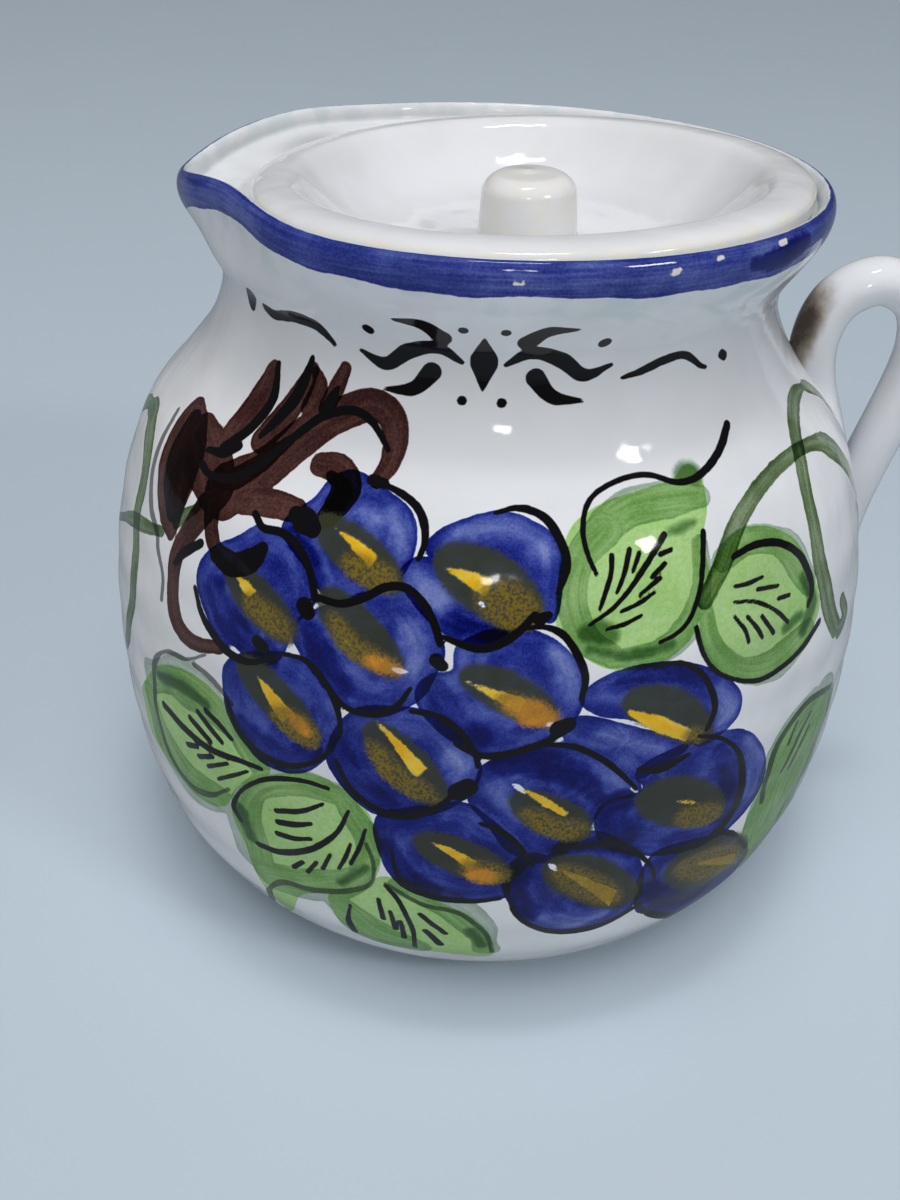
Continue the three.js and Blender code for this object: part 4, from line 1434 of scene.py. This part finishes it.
class Paint(Surface):
    """Glaze with washes under it that darken each other as watercolour does."""

    def __init__(self, name):
        super().__init__(name)
        flow = self.node("ShaderNodeAttribute", {}, attribute_name="flow").outputs["Vector"]
        self.streak = self.ramp(self.noise(STREAK, flow), *STREAK_RAMP)
        self.cloud = self.ramp(self.noise(CLOUD), *CLOUD_RAMP)
        clouds = self.product(self.cloud, CLOUD_SHARE)
        self.tone = self.math("MULTIPLY_ADD", self.streak, STREAK_SHARE, clouds)
        self.grain = self.noise(GRAIN)
        self.rag = self.math("MULTIPLY_ADD", self.noise(RAG), EDGE_RAG, -EDGE_RAG / 2)
        self.wedge = self.cover("wedge")
        self.sliver = self.cover("sliver")
        self.depth = None

    def cover(self, name):
        """1 where a mark covers the wall, with a ragged edge and, by its fray, a dry brush's speckle."""
        soft, ragged, fray = EDGES.get(name, WASH_EDGE)
        edge = self.math("MULTIPLY_ADD", self.rag, ragged, self.number(name))
        if fray > 0:
            speckle = self.math("MULTIPLY_ADD", self.grain, fray, -fray / 2)
            edge = self.math("ADD", edge, speckle)
        return self.ramp(edge, soft, -soft)

    def besides(self, *covers):
        """1 where none of the covers lies."""
        most = covers[0]
        for cover in covers[1:]:
            most = self.math("MAXIMUM", most, cover)
        return self.math("SUBTRACT", 1.0, most)

    def lay(self, colour, *factors):
        """Adds a wash: if the factors make 1, it gives its colour on bare white."""
        layer = self.scaled(absorbance(colour), self.product(*factors))
        if self.depth is not None:
            inputs = {0: self.depth, 1: layer}
            layer = self.node("ShaderNodeVectorMath", inputs, operation="ADD").outputs[0]
        self.depth = layer

    def wash(self, name, wash, *factors):
        """A brushed wash whose depth runs from thin to thick along its streaks."""
        pooled = self.ramp(self.number(name), *POOL_RAMP)
        depth = self.ramp(self.tone, 0.0, 1.0, wash.thin, wash.thick)
        depth = self.math("MULTIPLY_ADD", pooled, wash.pool, depth)
        self.lay(wash.colour, self.cover(name), depth, self.ramp(self.grain, *GRAIN_RAMP), *factors)

    def stained(self, base):
        """The base colour seen through all the washes."""
        parts = self.node("ShaderNodeSeparateXYZ", {0: self.depth}).outputs
        through = [self.math("EXPONENT", self.product(part, -1.0)) for part in parts]
        tint = self.node("ShaderNodeCombineXYZ", dict(enumerate(through))).outputs[0]
        inputs = {0: base, 1: tint}
        return self.node("ShaderNodeVectorMath", inputs, operation="MULTIPLY").outputs[0]


def paint_fruit(paint):
    """Blue washes, heavier low on the belly and in places, lighter in others with one painted highlight,
    bare at the wedges, which are ochre.
    """
    height = paint.node("ShaderNodeSeparateXYZ", {0: paint.place}).outputs["Z"]
    load = paint.math("MULTIPLY_ADD", paint.cover("deep_blue"), DEEP_LOAD, 1.0)
    # Lighter blue where less was laid, and a painted highlight on one grape's top
    load = paint.math("MULTIPLY_ADD", paint.cover("thin_blue_and_highlight"), THIN_AND_HIGHLIGHT_LOAD, load)
    bare = paint.besides(paint.wedge, paint.sliver)
    keep = paint.product(bare, paint.ramp(height, *LOW_RAMP), load)
    for layer in range(GRAPE_LAYERS):
        paint.wash(f"blue_{layer}", GRAPE_WASH, keep)
    paint.lay(OCHRE, paint.wedge, paint.ramp(paint.streak, *WEDGE_RAMP))


def paint_greens(paint):
    """Leaves, tendrils and stem."""
    paint.wash("leaf", LEAF_WASH)
    paint.wash("leaf_dark", LEAF_SHADE_WASH)
    paint.lay(LEAF_SHADE, paint.cover("leaf_dab"), DAB_LOAD)
    for number in range(len(TENDRILS)):
        paint.wash(f"vine_{number}", VINE_WASH)
    for number in range(len(STEM)):
        paint.wash(f"stem_{number}", STEM_WASH)


def paint_rim(paint):
    """The rim's band, its lap, and a little blue that ran into the glaze below it."""
    paint.wash("band", BAND_WASH)
    paint.lay(RIM_BLUE, paint.cover("lap"), paint.cover("band"), LAP_LOAD)
    below = paint.ramp(paint.number("band"), *BLEED_REACH)
    paint.lay(RIM_BLEED, below, paint.ramp(paint.cloud, *BLEED_RAMP), BLEED_LOAD)


def paint_olive(paint, colour):
    """The olive middles of the grapes, soft at their edge, with yellow flecks at one end."""
    flecked = paint.cover("flecks")
    wedge = paint.product(paint.wedge, paint.math("MULTIPLY_ADD", flecked, FLECK_VEIL, 1.0))
    olive = paint.product(paint.cover("olive"), paint.besides(wedge, paint.sliver))
    colour = paint.mixed(paint.product(olive, OLIVE_COVER), colour, OLIVE)
    specks = paint.ramp(paint.noise(FLECK), *FLECK_RAMP)
    colour = paint.mixed(paint.product(flecked, olive, specks), colour, FLECK_YELLOW)
    orange = paint.product(paint.cover("orange"), paint.ramp(paint.streak, *ORANGE_RAMP))
    return paint.mixed(orange, colour, ORANGE_OCHRE)


def painted_glaze():
    """White glaze with all the brushwork, and bare clay under the foot."""
    paint = Paint("painted_glaze")
    paint_fruit(paint)
    paint_greens(paint)
    paint_rim(paint)
    colour = paint_olive(paint, paint.stained(paint.white()))
    colour = paint.mixed(paint.product(paint.cover("faint_ink"), FAINT_COVER), colour, INK)
    colour = paint.mixed(paint.cover("ink"), colour, INK)
    colour = paint.mixed(paint.cover("chip"), colour, CHIP)
    colour = paint.mixed(paint.number("foot"), colour, CLAY)
    return paint.glaze(colour)


def plain_glaze(name, ivory=0.0):
    """White glaze that turns ivory where it lies thin, with painted brown shade where the mesh marks the
    handle's crevice.
    """
    graph = Surface(name)
    worn = graph.product(graph.number("thin"), graph.noise(WEAR))
    colour = graph.mixed(graph.ramp(worn, *WEAR_RAMP), graph.white(), GLAZE_IVORY)
    if ivory > 0:
        colour = graph.mixed(ivory, colour, GLAZE_IVORY)
    # Painted shade: brown, then near black, in the crevice between the handle and the neck
    crevice_shade_amount = graph.math("MULTIPLY_ADD", graph.noise(CREVICE_SHADE_BLOTCH), CREVICE_SHADE_BLOTCH_SHARE, graph.number("crevice_shade"))
    colour = graph.mixed(graph.ramp(crevice_shade_amount, *CREVICE_SHADE_RAMP), colour, SPECK_AND_SHADE_BROWN)
    colour = graph.mixed(graph.ramp(crevice_shade_amount, *CREVICE_DEEP_SHADE_RAMP), colour, CREVICE_DEEP_SHADE)
    return graph.glaze(colour)


def island(across, up, strip):
    """Places shares from 0 to 1 in a strip of the bake map."""
    across, up = np.broadcast_arrays(across, up)
    low, high = strip
    return np.stack((MAP_MARGIN + (1 - 2 * MAP_MARGIN) * across, low + (high - low) * up), axis=-1)


def unwrap_body(piece, columns, fine, rows, rings):
    """Lays the painted front out large on the bake map, with the back and the hidden parts below it."""
    low, high = rows.wall, rows.inside - RIM_SEAM_RINGS
    column = np.tile(np.arange(columns), rings - 1)[:, None]
    row = np.repeat(np.arange(rings - 1), columns)[:, None]
    across = column + np.array((0, 1, 1, 0))
    up = row + np.array((0, 0, 1, 1))
    wall = ((row >= low) & (row < high))[..., None]
    rise = (up - low) / (high - low)
    hidden_rise = np.where(up >= high, up - high + low, up) / (rings - high + low)
    front = island(across / fine, rise, FRONT_STRIP)
    back = island((across - fine) / (columns - fine), rise, BACK_STRIP)
    hidden = island(across / columns, hidden_rise, HIDDEN_STRIP)
    spread = np.where(wall, np.where((column < fine)[..., None], front, back), hidden)
    fan = np.arange(columns)[:, None]
    base = island((fan + (0.5, 1, 0)) / columns, np.array((0, 1, 1)), BASE_STRIP)
    floor = island((fan + (0, 1, 0.5)) / columns, np.array((0, 0, 1)), FLOOR_STRIP)
    layer = piece.data.uv_layers.new(name="OFBake")
    places = np.concatenate((spread.ravel(), base.ravel(), floor.ravel()))
    layer.data.foreach_set("uv", places.astype(np.float32))


def paint_wall(section, rows, angles, shown):
    """Draws all the marks on the rings of points that show."""
    columns = len(angles)
    ring_arc = lengths(section[1:-1])
    ring_arc += arc_at(section[1 + rows.wall][1]) - ring_arc[rows.wall]
    crest = rows.rim + section[1 + rows.rim:1 + rows.inside, 1].argmax()
    angle = np.tile(np.where(angles > math.pi, angles - 2 * math.pi, angles), len(ring_arc))
    arc = np.repeat(ring_arc, columns)
    radius = np.repeat(section[1:-1, 0], columns)
    canvas = Canvas(angle[shown], arc[shown], radius[shown])
    paint_band(canvas, ring_arc[crest])
    paint_leaves(canvas)
    paint_grapes(canvas)
    paint_vine(canvas)
    paint_lines(canvas)
    paint_ornament(canvas)
    return canvas


def store_marks(piece, canvas, shown):
    """Keeps the painted marks and their brush streaks in the mesh."""
    total = len(piece.data.vertices)
    for name, field in canvas.marks.items():
        values = np.full(total, FAR)
        values[shown] = field
        store(piece, name, values)
    flow = np.zeros((total, 3))
    flow[shown] = canvas.flow
    store(piece, "flow", flow)


def make_body():
    """The painted vessel."""
    section, rows = body_section()
    angles, fine = column_angles()
    columns = len(angles)
    points = throw_marks(shape_lip(turned_points(section, angles)))
    piece = ring_mesh("painted_body", points, columns, axis_ends(section))
    shown = slice(rows.wall * columns, (rows.inside + PAINT_LAP_RINGS) * columns)
    store_marks(piece, paint_wall(section, rows, angles, shown), shown)
    foot = np.zeros(len(piece.data.vertices))
    foot[:(rows.wall - FOOT_EDGE_RINGS) * columns] = 1
    base_middle = len(points)
    foot[base_middle] = 1
    store(piece, "foot", foot)
    unwrap_body(piece, columns, fine, rows, len(section) - 2)
    piece.data.materials.append(painted_glaze())
    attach(piece, "jug")
    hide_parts("jug_body")


def handle_line():
    """The handle's middle line in the plane y = 0: up from the shoulder, over an arch, to the belly."""
    half = HANDLE_THICKNESS / 2
    inner = outer_radius(shoulder_height + HANDLE_ARCH_SPRING) + HANDLE_CREVICE + half
    outer = BELLY_RADIUS + HANDLE_OVERHANG - half
    arch_rise = HANDLE_ARCH_TOP - half - HANDLE_ARCH_SPRING
    spots = [(outer_radius(shoulder_height + HANDLE_UPPER_ROOT) - HANDLE_BURY, HANDLE_UPPER_ROOT)]
    for turn in np.linspace(math.pi, 0, ARCH_POINTS):
        across = (inner + outer) / 2 + (outer - inner) / 2 * math.cos(turn)
        spots.append((across, HANDLE_ARCH_SPRING + arch_rise * math.sin(turn)))
    limb = outer_radius(shoulder_height + HANDLE_LOWER_LIMB) + HANDLE_LOWER_PROUD
    spots.append((limb, HANDLE_LOWER_LIMB))
    spots.append((outer_radius(shoulder_height + HANDLE_LOWER_ROOT) - HANDLE_BURY, HANDLE_LOWER_ROOT))
    return centripetal(np.array(spots) + (0, shoulder_height))


def centripetal(spots):
    """A smooth line through spots that doesn't overshoot where they lie close."""
    ring = np.vstack((2 * spots[0] - spots[1], spots, 2 * spots[-1] - spots[-2]))
    spans = []
    for before, here, there, after in zip(ring[:-3], ring[1:-2], ring[2:-1], ring[3:]):
        first = math.sqrt(np.linalg.norm(here - before))
        middle = math.sqrt(np.linalg.norm(there - here))
        last = math.sqrt(np.linalg.norm(after - there))
        leave = (here - before) / first - (there - before) / (first + middle) + (there - here) / middle
        arrive = (there - here) / middle - (after - here) / (middle + last) + (after - there) / last
        leave_spot = here + leave * middle / 3
        arrive_spot = there - arrive * middle / 3
        spans.append(cubic(here, leave_spot, arrive_spot, there, HANDLE_STEPS)[:-1])
    spans.append(spots[-1][None, :])
    return np.vstack(spans)


def wall_gap(points):
    """Distance of points from the body's outside, and the wall's normal there."""
    radius = np.hypot(points[:, 0], points[:, 1])
    above = outer_radius(points[:, 2] + SLOPE_REACH)
    below = outer_radius(points[:, 2] - SLOPE_REACH)
    slope = (above - below) / (2 * SLOPE_REACH)
    normal = np.stack((points[:, 0] / radius, points[:, 1] / radius, -slope), axis=1)
    normal /= np.linalg.norm(normal, axis=1, keepdims=True)
    gap = (radius - outer_radius(points[:, 2])) / np.sqrt(1 + slope**2)
    return gap, normal


def strap_points(middle, root, turn):
    """Oval rings round the handle's middle line, larger towards its roots."""
    outward = -sideways(middle)
    thickness = HANDLE_THICKNESS + (HANDLE_ROOT_THICKNESS - HANDLE_THICKNESS) * root
    width = HANDLE_WIDTH + (HANDLE_ROOT_WIDTH - HANDLE_WIDTH) * root
    aside = thickness[:, None] / 2 * np.cos(turn)
    across = middle[:, :1] + outward[:, :1] * aside
    height = middle[:, 1:] + outward[:, 1:] * aside
    depth = width[:, None] / 2 * np.sin(turn)
    return np.stack((across, depth, height), axis=2).reshape(-1, 3)


def lute(points, middle, root):
    """Spreads the handle's roots over the wall, and lets them lie no deeper in it than the luting."""
    core = np.stack((middle[:, 0], np.zeros(len(middle)), middle[:, 1]), axis=1)
    gap, normal = wall_gap(points)
    away = points - np.repeat(core, HANDLE_SIDES, axis=0)
    away -= (away * normal).sum(axis=1, keepdims=True) * normal
    away /= np.maximum(np.linalg.norm(away, axis=1, keepdims=True), LUTE_LEAST_AWAY)
    spread = np.clip((LUTE_REACH - gap) / LUTE_REACH, 0, LUTE_MOST) ** 2 * LUTE_SPREAD
    near_root = np.repeat(ease(*LUTE_ROOT, root), HANDLE_SIDES)
    points = points + away * (spread * near_root)[:, None]
    gap, normal = wall_gap(points)
    return points + normal * np.maximum(-LUTE_DEPTH - gap, 0)[:, None]


def handle_crevice_shade(along, turn):
    """Painted brown shade in the crevice: on the upper limb, on the side towards the neck."""
    level = ease(*CREVICE_SHADE_START, along) * (1 - ease(*CREVICE_SHADE_END, along))
    neckward = ease(*CREVICE_SHADE_SIDE, np.cos(turn))
    return (level[:, None] * neckward[None, :]).ravel()


def make_handle():
    """The loop of clay luted to the neck and the belly."""
    line = handle_line()
    along = np.linspace(0, lengths(line)[-1], HANDLE_RINGS)
    middle = spaced(line, HANDLE_RINGS)
    root = 1 - ease(0, HANDLE_ROOT_LENGTH, np.minimum(along, along[-1] - along))
    turn = even_angles(HANDLE_SIDES)
    points = lute(strap_points(middle, root, turn), middle, root)
    ends = np.array((points[:HANDLE_SIDES].mean(axis=0), points[-HANDLE_SIDES:].mean(axis=0)))
    piece = ring_mesh("loop_handle", points, HANDLE_SIDES, ends)
    # The crevice's painted shade, kept as a number for each point
    store(piece, "crevice_shade", np.concatenate((handle_crevice_shade(along, turn), np.zeros(len(ends)))))
    piece.data.materials.append(plain_glaze("handle_glaze"))
    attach(piece, "jug")
    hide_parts("handle")


def lid_underside():
    """The lid's section from the middle of its bowl, over its seat, to its edge."""
    slope = math.tan(LEDGE_SLOPE)
    bottom = -LID_DISH_DEPTH - LID_WALL
    spigot_radius = ledge_radius - lid_shift - LID_SPIGOT_GAP
    spigot = (spigot_radius, -LID_EDGE - (lid_radius - spigot_radius) * slope + LID_SEAT_RELIEF)
    bowl = (spigot_radius - LID_SPIGOT_TAPER, -LID_DISH_DEPTH - LID_SPIGOT_DROP)
    turn = (spigot_radius - LID_BOWL_TURN, bottom + LID_BOWL_LIFT)
    under = (lid_radius - LID_FLANGE - LID_BOWL_INSET, bottom)
    seat_end = (lid_radius - LID_SEAT_WIDTH, -LID_EDGE - LID_SEAT_WIDTH * slope)
    seat_edge = (lid_radius - LID_CHAMFER, -LID_EDGE - LID_CHAMFER * slope)
    corner = (lid_radius, -LID_EDGE)
    side = (lid_radius, -LID_EDGE + LID_CHAMFER)
    return np.vstack((
        ((0, bottom), (under[0] / 2, bottom)),
        cubic(under, turn, bowl, spigot, LID_EDGE_STEPS),
        seat_end,
        cubic(seat_edge, corner, corner, side, LID_CORNER_STEPS),
    ))


def lid_top():
    """The lid's section from its edge, over the crest of its flange, to the middle of its dish."""
    floor = -LID_DISH_DEPTH
    edge = (lid_radius, -LID_EDGE_ROUNDING)
    over_edge = (lid_radius, -LID_EDGE_ROUNDING / 4)
    crest = (lid_radius - LID_CREST, 0)
    out_crest = ((lid_radius + crest[0]) / 2, 0)
    dish = (lid_radius - LID_FLANGE, -LID_CREST_DROP)
    in_crest = ((dish[0] + crest[0]) / 2, 0)
    rise = (dish[0] - LID_DISH_COVE, floor + LID_DISH_LIFT)
    cove = (dish[0] - LID_DISH_COVE, floor)
    pad = (KNOB_RADIUS + KNOB_PAD, floor)
    return np.vstack((
        cubic(edge, over_edge, out_crest, crest, LID_EDGE_STEPS),
        cubic(crest, in_crest, in_crest, dish, COVE_STEPS)[1:],
        cubic(dish, rise, cove, pad, LID_DISH_STEPS)[1:],
        np.linspace((pad[0] - KNOB_PAD_STEP, floor), (0, floor), FLAT_POINTS),
    ))


def lid_matrix():
    """Where the lid lies: pushed towards the handle, leaning as its cone seat makes it."""
    contact = lid_radius - LID_CONTACT
    slope = math.tan(LEDGE_SLOPE)
    height = ledge_height(contact) + LID_EDGE + LID_CONTACT * slope + LID_GAP
    lean = math.atan(lid_shift * slope / contact)
    return Matrix.Translation((lid_shift * MM, 0, height * MM)) @ Matrix.Rotation(-lean, 4, "Y")


def make_lid():
    """The dished lid, made with the crest of its flange at z = 0 and then laid in its place."""
    section = np.vstack((lid_underside(), lid_top()))
    points = turned_points(section, even_angles(LID_COLUMNS))
    radius = np.hypot(points[:, 0], points[:, 1])
    inner = ease(lid_radius - LID_SWAY_FADE[0], lid_radius - LID_SWAY_FADE[1], radius)
    sway = LID_SWAY * np.sin(LID_SWAY_LOBES * front_angle(points) + LID_SWAY_TURN)
    points[:, 2] += inner * (sway + LID_RIPPLE * np.sin(LID_RIPPLE_PITCH * radius))
    piece = ring_mesh("lid_dish", points, LID_COLUMNS, axis_ends(section))
    at_crest = bump(radius - lid_radius + LID_CREST, LID_CREST_WEAR)
    thin = np.zeros(len(piece.data.vertices))
    thin[:len(points)] = bump(radius - lid_radius, LID_EDGE_WEAR) + LID_CREST_THINNESS * at_crest
    store(piece, "thin", thin)
    piece.data.transform(lid_matrix())
    piece.data.materials.append(plain_glaze("lid_glaze"))
    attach(piece, "lid")
    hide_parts("lid_plate")


def knob_section():
    """The knob's section, with z = 0 at the floor of the lid's dish."""
    bed = -2 * KNOB_BED
    foot = (KNOB_RADIUS + KNOB_FILLET, -KNOB_BED)
    corner = (KNOB_RADIUS, 0)
    waist = (KNOB_RADIUS, KNOB_FILLET)
    shoulder = (KNOB_RADIUS - KNOB_TAPER, KNOB_HEIGHT - KNOB_ROUNDING)
    flat = (shoulder[0] - KNOB_ROUNDING, KNOB_HEIGHT - KNOB_CROWN)
    above = (shoulder[0], (shoulder[1] + flat[1]) / 2)
    beside = ((shoulder[0] + flat[0]) / 2, flat[1])
    return np.vstack((
        ((0, bed), (foot[0], bed)),
        cubic(foot, corner, corner, waist, COVE_STEPS),
        np.linspace(waist, shoulder, KNOB_SIDE_POINTS)[1:],
        cubic(shoulder, above, beside, flat, KNOB_ROUND_STEPS)[1:],
        np.linspace(flat, (0, KNOB_HEIGHT), FLAT_POINTS)[1:],
    ))


def make_knob():
    """The stub knob luted to the lid."""
    section = knob_section()
    points = turned_points(section, even_angles(KNOB_COLUMNS))
    angle = front_angle(points)
    upper = ease(KNOB_SWAY_START, KNOB_HEIGHT, points[:, 2])
    sway = 1 - KNOB_SWAY * upper * (1 + np.sin(KNOB_SWAY_LOBES * angle + KNOB_SWAY_TURN))
    points[:, :2] *= sway[:, None]
    points[:, 2] -= KNOB_DIP * upper * (1 + np.sin(angle + KNOB_DIP_TURN))
    piece = ring_mesh("lid_stub_knob", points, KNOB_COLUMNS, axis_ends(section))
    store(piece, "thin", np.full(len(piece.data.vertices), KNOB_THINNESS))
    piece.data.transform(lid_matrix() @ Matrix.Translation((0, 0, -LID_DISH_DEPTH * MM)))
    piece.data.materials.append(plain_glaze("knob_glaze", KNOB_IVORY))
    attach(piece, "lid")
    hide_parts("lid_knob")


def make_camera():
    """The photograph's camera."""
    right, up, forward = camera_axes()
    data = bpy.data.cameras.new("photo_camera")
    data.sensor_fit = "AUTO"
    data.sensor_width = SENSOR_WIDTH
    data.lens = SENSOR_WIDTH * PHOTO_FOCAL / max(PHOTO_SIZE)
    data.clip_start, data.clip_end = CAMERA_CLIP
    camera = bpy.data.objects.new("photo_camera", data)
    turn = Matrix((right, up, -forward)).transposed().to_4x4()
    camera.matrix_world = Matrix.Translation(Vector(CAMERA_PLACE) * MM) @ turn
    bpy.context.scene.collection.objects.link(camera)
    bpy.context.scene.camera = camera


def add_lamp(data, azimuth, elevation, distance, mirrored):
    """Puts a lamp where it faces the jug's shoulder, and says whether the glaze mirrors it."""
    turn = math.radians(azimuth)
    lift = math.radians(elevation)
    level = math.cos(lift)
    back = Vector((math.sin(turn) * level, -math.cos(turn) * level, math.sin(lift)))
    lamp = bpy.data.objects.new(data.name, data)
    lamp.location = Vector((0, 0, shoulder_height * MM)) + back * distance
    lamp.rotation_mode = "QUATERNION"
    lamp.rotation_quaternion = back.to_track_quat("Z", "Y")
    lamp.visible_glossy = mirrored
    bpy.context.scene.collection.objects.link(lamp)


def make_lamps():
    """A broad soft light from above that leaves no veil on the glaze, and the lamps."""
    sky = bpy.data.lights.new("sky_lamp", "SUN")
    sky.angle = SKY_SPREAD
    sky.energy = SKY_POWER
    sky.color = SKY_COLOUR
    add_lamp(sky, SKY_AZIMUTH, SKY_ELEVATION, distance=0, mirrored=False)
    for lamp in LAMPS:
        data = bpy.data.lights.new(lamp.name, "AREA")
        data.shape = "RECTANGLE"
        data.size, data.size_y = lamp.size
        data.energy = lamp.power
        data.color = lamp.colour
        add_lamp(data, lamp.azimuth, lamp.elevation, lamp.distance, lamp.mirrored)


def make_world():
    """A dim even light on the jug, and a pale background where the camera looks past the floor."""
    graph = Graph(bpy.data.worlds.new("studio"))
    seen = graph.node("ShaderNodeLightPath", {}).outputs["Is Camera Ray"]
    dim = tuple(WORLD_LIGHT * tone for tone in SKY_COLOUR)
    background = graph.tree.nodes["Background"]
    graph.feed(background.inputs["Color"], graph.mixed(seen, dim, BACKDROP_COLOUR))
    bpy.context.scene.world = graph.owner


def make_floor():
    """A pale floor that the glaze mirrors darker than the camera sees it."""
    graph = Surface("studio_floor")
    shade = tuple(STUDIO_MOTTLE * tone for tone in FLOOR_COLOUR)
    pale = graph.mixed(graph.noise(MOTTLE), FLOOR_COLOUR, shade)
    # The glaze mirrors the floor darker: a painted shadow round the jug's foot, seen only in the
    # reflection
    mirrored = graph.node("ShaderNodeLightPath", {}).outputs["Is Glossy Ray"]
    graph.feed(graph.shader.inputs["Base Color"], graph.mixed(mirrored, pale, FLOOR_MIRRORED))
    graph.feed(graph.shader.inputs["Roughness"], STUDIO_ROUGHNESS)
    corners = [(STUDIO_REACH * x, STUDIO_REACH * y, 0) for x, y in ((-1, -1), (1, -1), (1, 1), (-1, 1))]
    mesh = bpy.data.meshes.new("studio_floor")
    mesh.from_pydata(corners, [], [(0, 1, 2, 3)])
    floor = bpy.data.objects.new("studio_floor", mesh)
    floor.data.materials.append(graph.owner)
    bpy.context.scene.collection.objects.link(floor)


make_camera()
make_floor()
make_world()
make_lamps()
make_body()
make_handle()
make_lid()
make_knob()
bpy.context.scene.view_settings.view_transform = "Standard"
bpy.context.view_layer.update()
